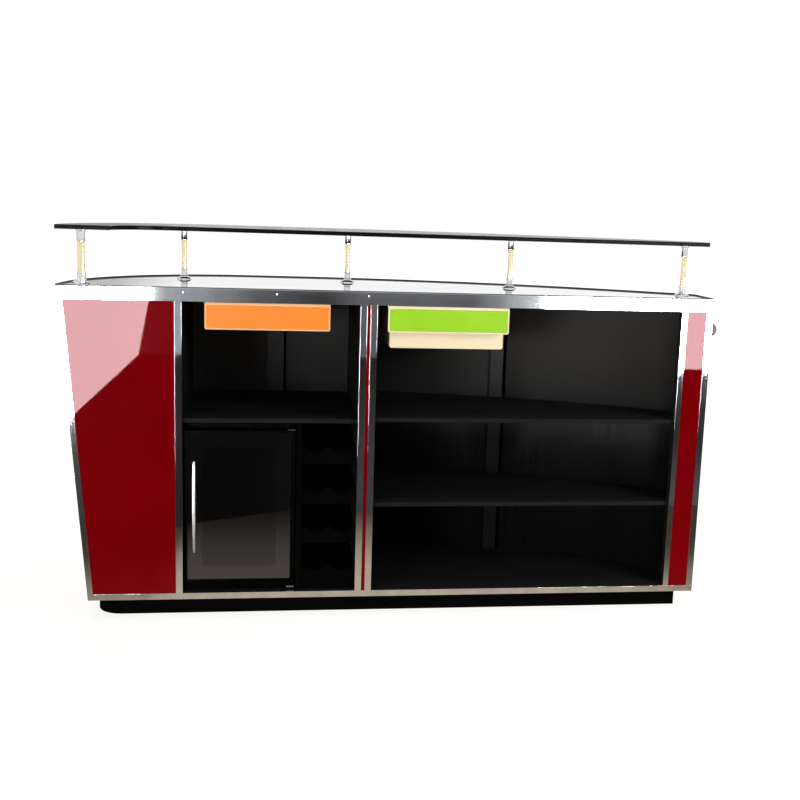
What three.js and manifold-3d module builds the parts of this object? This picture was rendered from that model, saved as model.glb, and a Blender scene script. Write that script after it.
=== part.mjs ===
import * as THREE from 'three';
import { mergeVertices } from 'three/addons/utils/BufferGeometryUtils.js';
import Module from 'manifold-3d';

const wasm = await Module();
wasm.setup();

// Millimetres, +Z up. The operator side faces -Y, the customer side +Y, the floor is z = 0.
// Plan of the worktop: straight rear edge, elliptical left end, shallow arc to the square right end.
const LEFT_X = -942;
const RIGHT_X = 922;
const REAR_Y = -264;
const DEPTH = 528;
const END_CENTRE_X = -452;
const ARC_START_X = -319;
const ARC_RADIUS = 2220;
const SEAM_RIGHT_X = 385;
const LEFT_LEAN = 67;
const END_STEPS = 12;
const ARC_STEPS_MID = 6;
const ARC_STEPS_RIGHT = 5;

// Heights of the carcass.
const PLINTH_H = 57;
const FLOOR_T = 18;
const FLOOR_Z = PLINTH_H + FLOOR_T;
const TOP_Z = 950;
const TOP_T = 37;
const UNDER_Z = TOP_Z - TOP_T;

// Thin layers, from the worktop edge inwards.
const BAND_T = 2;
const SKIN_INSET = 8;
const SKIN_T = 4;
const SKIN_BACK_INSET = SKIN_INSET + SKIN_T;
const LAYER_GAP = 0.3;
const SHELL_INSET = SKIN_BACK_INSET + LAYER_GAP;
const SHELL_T = 15;
const LINER_INSET = SHELL_INSET + SHELL_T;
const RAIL_INSET = 6;
const STRIP_T = 3;
const STRIP_W = 24;
const FIT_GAP = 0.5;
const BACKING_GAP = 1.5;

// Rear face frame: trims stand a little behind the band, red panels behind the trims.
const TRIM_SETBACK = 2;
const PANEL_SETBACK = 4;
const FRAME_SETBACK = 8;
const TRIM_Y = REAR_Y + TRIM_SETBACK;
const PANEL_Y = REAR_Y + PANEL_SETBACK;
const FRAME_Y = REAR_Y + FRAME_SETBACK;
const TRIM_W = 19;
const LEFT_TRIM_W = 16;
const BAY_RIGHT_TRIM_W = 16;
const LEFT_TRIM_INSET = 3;
const BOARD_T = 18;
const BAY_LEFT_X0 = -608;
const BAY_LEFT_X1 = -115;
const BAY_RIGHT_X0 = -67;
const BAY_RIGHT_X1 = 827;
const DIVIDER_STRIP_W = 10;
const END_OVERHANG = 5;
const END_FACE_X = RIGHT_X - END_OVERHANG;
const END_SKIN_T = 3;
const RIGHT_TRIM_PROUD = 3;
const RIGHT_TRIM_X1 = END_FACE_X + RIGHT_TRIM_PROUD;

// Plinth.
const PLINTH_REAR_INSET = 44;
const PLINTH_LEFT_INSET = 6;
const PLINTH_RIGHT_INSET = 42;
const PLINTH_FRONT_INSET = 48;
const PLINTH_CORNER_R = 70;
const PLINTH_CORNER_STEPS = 6;
const PLINTH_T = 18;

// Shelves in the bays.
const SHELF_SETBACK = 20;
const SHELF_FRONT_Y = REAR_Y + SHELF_SETBACK;
const SHELF_T = 12.5;
const SHELF_LEFT_H = 508;
const SHELF_HIGH_H = 513;
const SHELF_MID_H = 261;
const SHELF_LEFT_Z = FLOOR_Z + SHELF_LEFT_H;
const SHELF_HIGH_Z = FLOOR_Z + SHELF_HIGH_H;
const SHELF_MID_Z = FLOOR_Z + SHELF_MID_H;

// Raised shelf and its posts.
const POST_H = 150;
const GLASS_T = 12;
const GLASS_LEFT_INSET = 3;
const GLASS_FAR_INSET = 48;
const GLASS_ARC_RADIUS = 2700;
const GLASS_OVERHANG = 8;
const GLASS_RIGHT_X = RIGHT_X + GLASS_OVERHANG;
const GLASS_RETURN_W = 146;
const GLASS_INNER_R = 130;
const GLASS_INNER_STEPS = 8;
const GLASS_RIGHT_SETBACK = 85;
const GLASS_REAR_GAP = 1;
const POST_SEGMENTS = 20;
const POST_FLANGE_R = 21.5;
const POST_SHOULDER_R = 17;
const POST_SOCKET_R = 11;
const POST_NECK_R = 9.9;
const POST_SLEEVE_R = 8.3;
const POST_SOCKET_H = 24;
const POST_FLANGE_H = 7;
const POST_RIM_H = 2.3;
const POST_SHOULDER_H = 5.6;
const POST_HEAD_R = 13;
const POST_HEAD_H = 3;
const POSTS = [
  ['post_end_rear', -872, 26],
  ['post_end_front', -888, 92],
  ['post_corner', -624, 335],
  ['post_middle_left', -131, 352],
  ['post_middle_right', 362, 262],
  ['post_right', 863, 116],
];

// Bottle rack beside the cooler: a partition and four scalloped beds.
const PARTITION_GAP = 4;
const PARTITION_T = 16;
const BED_SETBACK = 26;
const BED_FRONT_Y = REAR_Y + BED_SETBACK;
const BED_LENGTH = 300;
const BED_H = 47;
const BED_SHARES = [0.85167, 0.61150, 0.37437, 0.13522];
const CRADLE_COUNT = 2;
const CRADLE_W = 60;
const CRADLE_DEPTH = 15;
const CRADLE_STEPS = 8;

// Drawers under the worktop.
const DRAWER_SETBACK = 10;
const DRAWER_FACE_Y = REAR_Y + DRAWER_SETBACK;
const DRAWER_FACE_T = 6;
const DRAWER_TOP_GAP = 2;
const DRAWER_FACE_H = 75;
const DRAWER_FACE_Z1 = UNDER_Z - DRAWER_TOP_GAP;
const DRAWER_FACE_Z0 = DRAWER_FACE_Z1 - DRAWER_FACE_H;
const DRAWER_CORNER_R = 5;
const DRAWER_CORNER_STEPS = 3;
const DRAWER_RIM = 4.5;
const DRAWER_TOP_RIM = 8;
const INSERT_T = 2.5;
const INSERT_CORNER_R = 2;
const TRAY_WALL = 3;
const TRAY_SIDE_INSET = 9;
const TRAY_CORNER_R = 6;
const TRAY_TOP_GAP = 7;
const TRAY_TOP_Z = UNDER_Z - TRAY_TOP_GAP;
const TRAY_LIP_W = 6;
const TRAY_LIP_T = 3;
const TRAY_LIP_DROP = 16;
const TRAY_LIP_Z = UNDER_Z - TRAY_LIP_DROP;
const RUNNER_T = 2;
const RUNNER_LIP_T = 3;
const RUNNER_LIP_W = 6;
const RUNNER_GAP = 1;
const ORANGE_BAY_GAP = 62;
const ORANGE_W = 347;
const ORANGE_LENGTH = 370;
const ORANGE_TRAY_SETBACK = 0;
const ORANGE_TRAY_DROP = 67;
const GREEN_BAY_GAP = 31;
const GREEN_W = 349;
const GREEN_LENGTH = 340;
const GREEN_TRAY_SETBACK = 30;
const GREEN_TRAY_DROP = 125;

// Wine cooler standing on the floor of the left bay.
const COOLER_SIDE_GAP = 5;
const COOLER_W = 311;
const COOLER_X0 = BAY_LEFT_X0 + COOLER_SIDE_GAP;
const COOLER_X1 = COOLER_X0 + COOLER_W;
const COOLER_TOP_GAP = 8.5;
const COOLER_H = SHELF_LEFT_H - SHELF_T - COOLER_TOP_GAP;
const COOLER_TOP_Z = FLOOR_Z + COOLER_H;
const COOLER_FOOT_H = 4;
const COOLER_SETBACK = 62;
const COOLER_DEPTH = 353;
const COOLER_FRONT_Y = REAR_Y + COOLER_SETBACK;
const COOLER_BACK_Y = COOLER_FRONT_Y + COOLER_DEPTH;
const COOLER_WALL = 18;
const COOLER_SILL_H = 33;
const COOLER_HEAD_DROP = 22;
const COOLER_SILL_Z = FLOOR_Z + COOLER_SILL_H;
const COOLER_HEAD_Z = COOLER_TOP_Z - COOLER_HEAD_DROP;
const DOOR_SEAL_GAP = 2;
const DOOR_T = 36;
const DOOR_Y1 = COOLER_FRONT_Y - DOOR_SEAL_GAP;
const DOOR_Y0 = DOOR_Y1 - DOOR_T;
const DOOR_BOTTOM_GAP = 10;
const DOOR_TOP_DROP = 15;
const DOOR_Z0 = FLOOR_Z + DOOR_BOTTOM_GAP;
const DOOR_Z1 = COOLER_TOP_Z - DOOR_TOP_DROP;
const DOOR_LATCH_STILE_W = 7;
const DOOR_HINGE_STILE_W = 12;
const DOOR_SILL_H = 23;
const DOOR_HEAD_H = 6;
const PANE_RECESS = 2;
const PANE_Y0 = DOOR_Y0 + PANE_RECESS;
const PANE_T = 14;
const HINGE_INSET = 6;
const HINGE_X = COOLER_X1 - HINGE_INSET;
const HINGE_Y = DOOR_Y0 + HINGE_INSET;
const HINGE_PIN_R = 2.5;
const HINGE_HOLE_R = 2.7;
const HINGE_PIN_L = 4;
const HINGE_PLATE_T = 3;
const HINGE_PLATE_W = 22;
const HINGE_SPACE = 1;
const HINGE_SEGMENTS = 16;
const HANDLE_INSET = 21;
const HANDLE_X = COOLER_X0 + HANDLE_INSET;
const HANDLE_W = 10;
const HANDLE_RISE = 102;
const HANDLE_L = 273;
const HANDLE_Z0 = DOOR_Z0 + HANDLE_RISE;
const HANDLE_Z1 = HANDLE_Z0 + HANDLE_L;
const HANDLE_BOW = 20;
const HANDLE_T = 6;
const HANDLE_FOOT = 14;
const HANDLE_STEPS = 14;
const RACK_RISE = 210;
const RACK_Z = COOLER_SILL_Z + RACK_RISE;
const RACK_BAR = 4;
const RACK_BARS = 7;
const RACK_FRONT_GAP = 12;
const RACK_BACK_GAP = 10;
const RACK_Y0 = COOLER_FRONT_Y + RACK_FRONT_GAP;
const RACK_Y1 = COOLER_BACK_Y - COOLER_WALL - RACK_BACK_GAP;

// Bottle opener on the right end.
const OPENER_SETBACK = 18;
const OPENER_Y0 = REAR_Y + OPENER_SETBACK;
const OPENER_W = 40;
const OPENER_H = 71;
const OPENER_TOP_GAP = 2;
const OPENER_Z1 = UNDER_Z - OPENER_TOP_GAP;
const OPENER_Z0 = OPENER_Z1 - OPENER_H;
const OPENER_PLATE_T = 5;
const HOOD_R = 20;
const HOOD_Z = OPENER_Z0 + HOOD_R;
const HOOD_WALL = 5;
const HOOD_STEPS = 12;

// Overlap of bodies that are joined and overrun of cutting bodies.
const OVERRUN = 1;
const EDGE_END = 1e-6;
const DOWNWARD_DEG = 270;

const GLOSS_RED = [0x7d0510, 0.12, 0.0];
const POLISHED = [0xb9b8b6, 0.16, 1.0];
const BLACK = [0x15110f, 0.45, 0.0];
const PALE_TOP = [0xe4e4e2, 0.1, 0.0];
const DARK_GLASS = [0x1d1f20, 0.06, 0.0];
const CHROME = [0xc7b48a, 0.14, 1.0];
const CREAM = [0xf0deb9, 0.45, 0.0];
const ORANGE = [0xff9134, 0.4, 0.0];
const GREEN = [0x9edb24, 0.4, 0.0];
const COOLER_BLACK = [0x111011, 0.3, 0.0];
const MIRROR_GLASS = [0x1a1716, 0.05, 0.0];
const SILVER = [0xc4c6c8, 0.25, 1.0];
const STEEL = [0x8d8f90, 0.35, 1.0];
const CAST_GREY = [0x3b3c3d, 0.5, 0.6];

const assembly = new THREE.Group();
assembly.name = 'bar_counter_with_shelves';

function addPiece(name, geometry, look) {
  const material = new THREE.MeshStandardMaterial({
    color: look[0],
    roughness: look[1],
    metalness: look[2],
  });
  const mesh = new THREE.Mesh(geometry, material);
  mesh.name = name;
  assembly.add(mesh);
}

// Closed body between a bottom and a top outline with the same number of points, both counter-clockwise;
// holes run clockwise.
function loft(bottom, z0, top, z1, holes = []) {
  const flat = (ring) => ring.map(([x, y]) => new THREE.Vector2(x, y));
  const faces = THREE.ShapeUtils.triangulateShape(flat(bottom), holes.map(flat));
  const lower = [bottom, ...holes];
  const upper = [top, ...holes];
  const positions = [];
  lower.flat().forEach(([x, y]) => positions.push(x, y, z0));
  upper.flat().forEach(([x, y]) => positions.push(x, y, z1));
  const count = lower.flat().length;
  const index = [];
  faces.forEach(([a, b, c]) => {
    index.push(a + count, b + count, c + count);
    index.push(c, b, a);
  });
  let first = 0;
  lower.forEach((ring) => {
    ring.forEach((_, i) => {
      const a = first + i;
      const b = first + (i + 1) % ring.length;
      index.push(a, b, b + count);
      index.push(a, b + count, a + count);
    });
    first += ring.length;
  });
  const geometry = new THREE.BufferGeometry();
  geometry.setAttribute('position', new THREE.Float32BufferAttribute(positions, 3));
  geometry.setIndex(index);
  return geometry;
}

function prism(outline, z0, z1, holes = []) {
  return loft(outline, z0, outline, z1, holes);
}

// Outline in X and Z carried along Y.
function alongY(outline, y0, y1) {
  const geometry = prism(outline, -y1, -y0);
  return geometry.applyMatrix4(new THREE.Matrix4().set(1, 0, 0, 0, 0, 0, -1, 0, 0, 1, 0, 0, 0, 0, 0, 1));
}

// Outline in Y and Z carried along X.
function alongX(outline, x0, x1) {
  const geometry = prism(outline, x0, x1);
  return geometry.applyMatrix4(new THREE.Matrix4().set(0, 0, 1, 0, 1, 0, 0, 0, 0, 1, 0, 0, 0, 0, 0, 1));
}

function box(x0, x1, y0, y1, z0, z1) {
  return prism([[x0, y0], [x1, y0], [x1, y1], [x0, y1]], z0, z1);
}

// Turned body about a vertical axis; the profile of [radius, height] starts and ends on the axis.
function turned(profile, x, y, segments) {
  const points = profile.map(([r, h]) => new THREE.Vector2(r, h));
  const geometry = new THREE.LatheGeometry(points, segments);
  geometry.deleteAttribute('normal');
  geometry.deleteAttribute('uv');
  geometry.rotateX(Math.PI / 2);
  geometry.translate(x, y, 0);
  return mergeVertices(geometry, 1e-4);
}

function toSolid(geometry) {
  const merged = mergeVertices(geometry, 1e-5);
  return new wasm.Manifold(new wasm.Mesh({
    numProp: 3,
    vertProperties: Float32Array.from(merged.attributes.position.array),
    triVerts: Uint32Array.from(merged.index.array),
  }));
}

function fromSolid(solid) {
  const data = solid.getMesh();
  const geometry = new THREE.BufferGeometry();
  geometry.setAttribute('position', new THREE.Float32BufferAttribute(data.vertProperties, 3));
  geometry.setIndex(Array.from(data.triVerts));
  return geometry;
}

function carve(body, ...tools) {
  return fromSolid(tools.reduce((rest, tool) => rest.subtract(toSolid(tool)), toSolid(body)));
}

function join(...bodies) {
  return fromSolid(bodies.map(toSolid).reduce((whole, body) => whole.add(body)));
}

// Sideways shift of the left end at a height: nothing under the worktop, the full lean at the plinth.
function lean(z) {
  return LEFT_LEAN * (UNDER_Z - z) / (UNDER_Z - PLINTH_H);
}

// Points of the customer-side edge from the rear left corner to endX, inset from the worktop edge.
// The first END_STEPS + 1 points are the left end; the next one is the left seam.
function customerEdge(inset, z, endX = END_FACE_X, insetLeft = inset, radius = ARC_RADIUS) {
  const points = [];
  const reachX = END_CENTRE_X - LEFT_X - insetLeft;
  const reachY = REAR_Y + DEPTH - inset - FRAME_Y;
  const shift = z < UNDER_Z ? lean(z) : 0;
  for (let i = 0; i <= END_STEPS; i += 1) {
    const turn = Math.PI / 2 * i / END_STEPS;
    points.push([END_CENTRE_X + shift - reachX * Math.cos(turn), FRAME_Y + reachY * Math.sin(turn)]);
  }
  const r = radius - inset;
  const centreY = REAR_Y + DEPTH - radius;
  const arcPoint = (x) => [x, centreY + Math.sqrt(r * r - (x - ARC_START_X) ** 2)];
  for (let i = 0; i <= ARC_STEPS_MID; i += 1) {
    points.push(arcPoint(ARC_START_X + (SEAM_RIGHT_X - ARC_START_X) * i / ARC_STEPS_MID));
  }
  for (let i = 1; i <= ARC_STEPS_RIGHT; i += 1) {
    points.push(arcPoint(SEAM_RIGHT_X + (endX - SEAM_RIGHT_X) * i / ARC_STEPS_RIGHT));
  }
  return points;
}

const SEAM_LEFT_POINT = END_STEPS + 1;
const SEAM_RIGHT_POINT = SEAM_LEFT_POINT + ARC_STEPS_MID;
const LAST_POINT = SEAM_RIGHT_POINT + ARC_STEPS_RIGHT;

// Wall between two insets, from one point of the customer edge to another.
function curvedWall(outerInset, innerInset, from, to, z0, z1, endX) {
  const ring = (z) => {
    const outer = customerEdge(outerInset, z, endX).slice(from, to + 1);
    const inner = customerEdge(innerInset, z, endX).slice(from, to + 1);
    return [...inner, ...outer.reverse()];
  };
  return loft(ring(z0), z0, ring(z1), z1);
}

function yOnEdge(edge, x) {
  const i = edge.findIndex((p, n) => n > 0 && p[0] >= x);
  const [x0, y0] = edge[i - 1];
  const [x1, y1] = edge[i];
  return y0 + (y1 - y0) * (x - x0) / (x1 - x0);
}

// Stretch of the inner liner face between two X values at a height, kept FIT_GAP clear of it.
function linerStretch(x0, x1, z) {
  const edge = customerEdge(LINER_INSET, z);
  const between = edge.filter(([x]) => x > x0 && x < x1);
  const ends = [[x0, yOnEdge(edge, x0)], ...between, [x1, yOnEdge(edge, x1)]];
  return ends.map(([x, y]) => [x, y - FIT_GAP]);
}

// Board with a straight front edge and a rear edge that follows the liner.
function fittedBoard(x0, x1, frontY, z0, z1) {
  const back = linerStretch(x0, x1, z0);
  return prism([[x0, frontY], [x1, frontY], ...back.reverse()], z0, z1);
}

function arcPoints(cx, cy, r, from, to, steps) {
  return Array.from({ length: steps + 1 }, (_, i) => {
    const turn = (from + (to - from) * i / steps) * Math.PI / 180;
    return [cx + r * Math.cos(turn), cy + r * Math.sin(turn)];
  });
}

function xOnEdge(edge, y) {
  const i = edge.findIndex((p, n) => n > 0 && p[1] >= y);
  const [x0, y0] = edge[i - 1];
  const [x1, y1] = edge[i];
  return x0 + (x1 - x0) * (y - y0) / (y1 - y0);
}

// Upright rectangle with rounded corners, in X and Z; the top corners have their own radius.
function roundedOutline(x0, x1, z0, z1, lowR, highR) {
  const steps = DRAWER_CORNER_STEPS;
  return [
    ...arcPoints(x0 + lowR, z0 + lowR, lowR, 180, 270, steps),
    ...arcPoints(x1 - lowR, z0 + lowR, lowR, 270, 360, steps),
    ...arcPoints(x1 - highR, z1 - highR, highR, 0, 90, steps),
    ...arcPoints(x0 + highR, z1 - highR, highR, 90, 180, steps),
  ];
}

// Plinth: a ring with a rounded rear left corner under the floor.
function plinthRing(extra) {
  const rearY = REAR_Y + PLINTH_REAR_INSET + extra;
  const rightX = RIGHT_X - PLINTH_RIGHT_INSET - extra;
  const r = PLINTH_CORNER_R - extra;
  const far = customerEdge(PLINTH_FRONT_INSET + extra, PLINTH_H, rightX, PLINTH_LEFT_INSET + extra);
  const side = far.filter(([x, y]) => y > rearY + r && x < rightX).reverse();
  const leftX = xOnEdge(far, rearY + r);
  const rearLeft = arcPoints(leftX + r, rearY + r, r, 180, 270, PLINTH_CORNER_STEPS);
  const rightY = yOnEdge(far, rightX - EDGE_END);
  return [...rearLeft, [rightX, rearY], [rightX, rightY], ...side];
}

addPiece('plinth', prism(plinthRing(0), 0, PLINTH_H, [plinthRing(PLINTH_T).reverse()]), BLACK);

function floorOutline(z) {
  const far = customerEdge(SHELL_INSET, z);
  return [[END_FACE_X, FRAME_Y], ...far.reverse()];
}

addPiece('floor_panel', loft(floorOutline(PLINTH_H), PLINTH_H, floorOutline(FLOOR_Z), FLOOR_Z), BLACK);

// Curved front: bent boards, red skins, bottom rail and seam strips.
const SPANS = [
  ['left', 0, SEAM_LEFT_POINT],
  ['middle', SEAM_LEFT_POINT, SEAM_RIGHT_POINT],
  ['right', SEAM_RIGHT_POINT, LAST_POINT],
];
SPANS.forEach(([side, from, to]) => {
  addPiece(`shell_${side}`, curvedWall(SHELL_INSET, LINER_INSET, from, to, FLOOR_Z, UNDER_Z), BLACK);
  addPiece(`skin_${side}`, curvedWall(SKIN_INSET, SKIN_BACK_INSET, from, to, FLOOR_Z, UNDER_Z), GLOSS_RED);
});
addPiece('rail_front', curvedWall(RAIL_INSET, SKIN_BACK_INSET, 0, LAST_POINT, PLINTH_H, FLOOR_Z), POLISHED);

function seamStrip(x) {
  const skin = customerEdge(SKIN_INSET, UNDER_Z);
  const stations = [x - STRIP_W / 2, x, x + STRIP_W / 2];
  const inner = stations.map((s) => [s, yOnEdge(skin, s) + LAYER_GAP]);
  const outer = inner.map(([s, y]) => [s, y + STRIP_T]);
  return prism([...inner, ...outer.reverse()], FLOOR_Z, UNDER_Z);
}

addPiece('seam_strip_left', seamStrip(ARC_START_X), POLISHED);
addPiece('seam_strip_right', seamStrip(SEAM_RIGHT_X), POLISHED);

// Uprights and backing boards.
const UPRIGHT_X0 = BAY_LEFT_X0 - BOARD_T;
const uprightLow = yOnEdge(customerEdge(LINER_INSET, FLOOR_Z), UPRIGHT_X0) - FIT_GAP;
const uprightHigh = yOnEdge(customerEdge(LINER_INSET, UNDER_Z), UPRIGHT_X0) - FIT_GAP;
addPiece('upright_left', alongX([
  [FRAME_Y, FLOOR_Z],
  [uprightLow, FLOOR_Z],
  [uprightHigh, UNDER_Z],
  [FRAME_Y, UNDER_Z],
], UPRIGHT_X0, BAY_LEFT_X0), BLACK);
addPiece('divider', fittedBoard(BAY_LEFT_X1, BAY_RIGHT_X0, FRAME_Y, FLOOR_Z, UNDER_Z), BLACK);

const END_SKIN_X = END_FACE_X - END_SKIN_T;
const END_BOARD_X = END_SKIN_X - LAYER_GAP;
const END_INNER_X = END_BOARD_X - BOARD_T;
const STILE_BACK_Y = FRAME_Y + BOARD_T;
const endBackY = yOnEdge(customerEdge(LINER_INSET, UNDER_Z), END_FACE_X - EDGE_END) - FIT_GAP;
addPiece('end_panel_right', box(END_INNER_X, END_BOARD_X, FRAME_Y, endBackY, FLOOR_Z, UNDER_Z), BLACK);
addPiece('skin_end_right', box(END_SKIN_X, END_FACE_X, FRAME_Y, endBackY, FLOOR_Z, UNDER_Z), GLOSS_RED);
addPiece('stile_right', box(BAY_RIGHT_X1, END_INNER_X, FRAME_Y, STILE_BACK_Y, FLOOR_Z, UNDER_Z), BLACK);

const linerLeftX = (z) => LEFT_X + LINER_INSET + lean(z) + BACKING_GAP;
addPiece('backing_left', alongY([
  [linerLeftX(FLOOR_Z), FLOOR_Z],
  [UPRIGHT_X0, FLOOR_Z],
  [UPRIGHT_X0, UNDER_Z],
  [linerLeftX(UNDER_Z), UNDER_Z],
], FRAME_Y, FRAME_Y + BOARD_T), BLACK);

// Rear face frame: trims, bottom rails and red panels.
const leftTrimOuter = (z) => LEFT_X + LEFT_TRIM_INSET + lean(z);
const leftTrimInner = (z) => leftTrimOuter(z) + LEFT_TRIM_W;
const BAY_TRIM_X0 = BAY_LEFT_X0 - TRIM_W;
const STRIP_X0 = (BAY_LEFT_X1 + BAY_RIGHT_X0 - DIVIDER_STRIP_W) / 2;
const STRIP_X1 = STRIP_X0 + DIVIDER_STRIP_W;
const RIGHT_TRIM_X0 = RIGHT_TRIM_X1 - TRIM_W;
const PANEL_RIGHT_X0 = BAY_RIGHT_X1 + BAY_RIGHT_TRIM_W;

addPiece('trim_left_end', alongY([
  [leftTrimOuter(PLINTH_H), PLINTH_H],
  [leftTrimInner(FLOOR_Z), FLOOR_Z],
  [leftTrimInner(UNDER_Z), UNDER_Z],
  [leftTrimOuter(UNDER_Z), UNDER_Z],
], TRIM_Y, FRAME_Y), POLISHED);
addPiece('rail_left', alongY([
  [leftTrimOuter(PLINTH_H), PLINTH_H],
  [BAY_LEFT_X0, PLINTH_H],
  [BAY_TRIM_X0, FLOOR_Z],
  [leftTrimInner(FLOOR_Z), FLOOR_Z],
], TRIM_Y, FRAME_Y), POLISHED);
addPiece('trim_bay_left', alongY([
  [BAY_LEFT_X0, PLINTH_H],
  [BAY_LEFT_X0, UNDER_Z],
  [BAY_TRIM_X0, UNDER_Z],
  [BAY_TRIM_X0, FLOOR_Z],
], TRIM_Y, FRAME_Y), POLISHED);
addPiece('rail_main', box(BAY_LEFT_X0, RIGHT_TRIM_X1, TRIM_Y, FRAME_Y, PLINTH_H, FLOOR_Z), POLISHED);

const UPRIGHT_TRIMS = [
  ['trim_divider_left', BAY_LEFT_X1, STRIP_X0],
  ['trim_divider_right', STRIP_X1, BAY_RIGHT_X0],
  ['trim_bay_right', BAY_RIGHT_X1, PANEL_RIGHT_X0],
  ['trim_right_end', RIGHT_TRIM_X0, RIGHT_TRIM_X1],
];
UPRIGHT_TRIMS.forEach(([name, x0, x1]) => {
  addPiece(name, box(x0, x1, TRIM_Y, FRAME_Y, FLOOR_Z, UNDER_Z), POLISHED);
});

addPiece('panel_rear_left', alongY([
  [leftTrimInner(FLOOR_Z), FLOOR_Z],
  [BAY_TRIM_X0, FLOOR_Z],
  [BAY_TRIM_X0, UNDER_Z],
  [leftTrimInner(UNDER_Z), UNDER_Z],
], PANEL_Y, FRAME_Y), GLOSS_RED);
addPiece('panel_divider', box(STRIP_X0, STRIP_X1, PANEL_Y, FRAME_Y, FLOOR_Z, UNDER_Z), GLOSS_RED);
addPiece(
  'panel_rear_right',
  box(PANEL_RIGHT_X0, RIGHT_TRIM_X0, PANEL_Y, FRAME_Y, FLOOR_Z, UNDER_Z),
  GLOSS_RED,
);

// Worktop board with its rear and front edge bands.
const bandInnerY = REAR_Y + BAND_T;
function worktopEdge(inset) {
  const edge = customerEdge(inset, UNDER_Z, RIGHT_X - inset);
  return [[edge[0][0], bandInnerY], ...edge, [RIGHT_X - inset, bandInnerY]];
}
addPiece('worktop', prism(worktopEdge(BAND_T).reverse(), UNDER_Z, TOP_Z), PALE_TOP);
addPiece('band_rear', box(LEFT_X, RIGHT_X, REAR_Y, bandInnerY, UNDER_Z, TOP_Z), POLISHED);
const bandRing = [...worktopEdge(BAND_T), ...worktopEdge(0).reverse()];
addPiece('band_front', prism(bandRing, UNDER_Z, TOP_Z), POLISHED);

// Raised shelf: a return over the left end, a concave inner corner and a straight inner edge.
const GLASS_Z = TOP_Z + POST_H;
function raisedShelf() {
  const leftX = LEFT_X + GLASS_LEFT_INSET;
  const rearY = REAR_Y + GLASS_REAR_GAP;
  const innerX = leftX + GLASS_RETURN_W;
  const corner = arcPoints(innerX + GLASS_INNER_R, rearY, GLASS_INNER_R, 180, 90, GLASS_INNER_STEPS);
  const far = customerEdge(GLASS_FAR_INSET, UNDER_Z, GLASS_RIGHT_X, GLASS_LEFT_INSET, GLASS_ARC_RADIUS);
  const tip = [GLASS_RIGHT_X, REAR_Y + GLASS_RIGHT_SETBACK];
  return [[leftX, rearY], ...corner, tip, ...far.reverse()];
}
addPiece('raised_shelf', prism(raisedShelf(), GLASS_Z, GLASS_Z + GLASS_T), DARK_GLASS);

const headZ = GLASS_Z - POST_HEAD_H;
const POST_PROFILE = [
  [0, TOP_Z],
  [POST_FLANGE_R, TOP_Z],
  [POST_FLANGE_R, TOP_Z + POST_RIM_H],
  [POST_SHOULDER_R, TOP_Z + POST_SHOULDER_H],
  [POST_SOCKET_R, TOP_Z + POST_FLANGE_H],
  [POST_NECK_R, TOP_Z + POST_FLANGE_H + POST_SOCKET_H],
  [POST_SLEEVE_R, TOP_Z + POST_FLANGE_H + POST_SOCKET_H],
  [POST_SLEEVE_R, headZ - POST_SOCKET_H],
  [POST_NECK_R, headZ - POST_SOCKET_H],
  [POST_NECK_R, headZ],
  [POST_HEAD_R, headZ],
  [POST_HEAD_R, GLASS_Z],
  [0, GLASS_Z],
];
POSTS.forEach(([name, x, back]) => {
  addPiece(name, turned(POST_PROFILE, x, REAR_Y + back, POST_SEGMENTS), CHROME);
});

// Shelves, rack partition and scalloped beds.
const LEFT_Z0 = SHELF_LEFT_Z - SHELF_T;
addPiece('shelf_left', fittedBoard(BAY_LEFT_X0, BAY_LEFT_X1, SHELF_FRONT_Y, LEFT_Z0, SHELF_LEFT_Z), BLACK);

// Shelf of the right bay: it runs behind the stile to the end panel.
function rightShelf(top) {
  const endX = END_INNER_X - FIT_GAP;
  const notchY = STILE_BACK_Y + FIT_GAP;
  const front = [
    [BAY_RIGHT_X0, SHELF_FRONT_Y],
    [BAY_RIGHT_X1 - FIT_GAP, SHELF_FRONT_Y],
    [BAY_RIGHT_X1 - FIT_GAP, notchY],
    [endX, notchY],
  ];
  const back = linerStretch(BAY_RIGHT_X0, endX, UNDER_Z);
  return prism([...front, ...back.reverse()], top - SHELF_T, top);
}
addPiece('shelf_right_high', rightShelf(SHELF_HIGH_Z), BLACK);
addPiece('shelf_right_middle', rightShelf(SHELF_MID_Z), BLACK);

const PARTITION_X0 = COOLER_X1 + PARTITION_GAP;
const RACK_X0 = PARTITION_X0 + PARTITION_T;
addPiece('rack_partition', fittedBoard(PARTITION_X0, RACK_X0, SHELF_FRONT_Y, FLOOR_Z, LEFT_Z0), BLACK);

function bedOutline(top, bottom) {
  const points = [[RACK_X0, bottom], [BAY_LEFT_X1, bottom]];
  const pitch = (BAY_LEFT_X1 - RACK_X0) / CRADLE_COUNT;
  const r = (CRADLE_W ** 2 / 4 + CRADLE_DEPTH ** 2) / (2 * CRADLE_DEPTH);
  const half = Math.asin(CRADLE_W / 2 / r) * 180 / Math.PI;
  points.push([BAY_LEFT_X1, top]);
  for (let i = CRADLE_COUNT - 1; i >= 0; i -= 1) {
    const cx = RACK_X0 + pitch * (i + 0.5);
    const cz = top + r - CRADLE_DEPTH;
    points.push(...arcPoints(cx, cz, r, DOWNWARD_DEG + half, DOWNWARD_DEG - half, CRADLE_STEPS));
  }
  points.push([RACK_X0, top]);
  return points;
}
BED_SHARES.forEach((share, i) => {
  const top = FLOOR_Z + share * (LEFT_Z0 - FLOOR_Z);
  const bottom = i === BED_SHARES.length - 1 ? FLOOR_Z : top - BED_H;
  const bed = alongY(bedOutline(top, bottom), BED_FRONT_Y, BED_FRONT_Y + BED_LENGTH);
  addPiece(`rack_bed_${i + 1}`, bed, BLACK);
});

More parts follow.
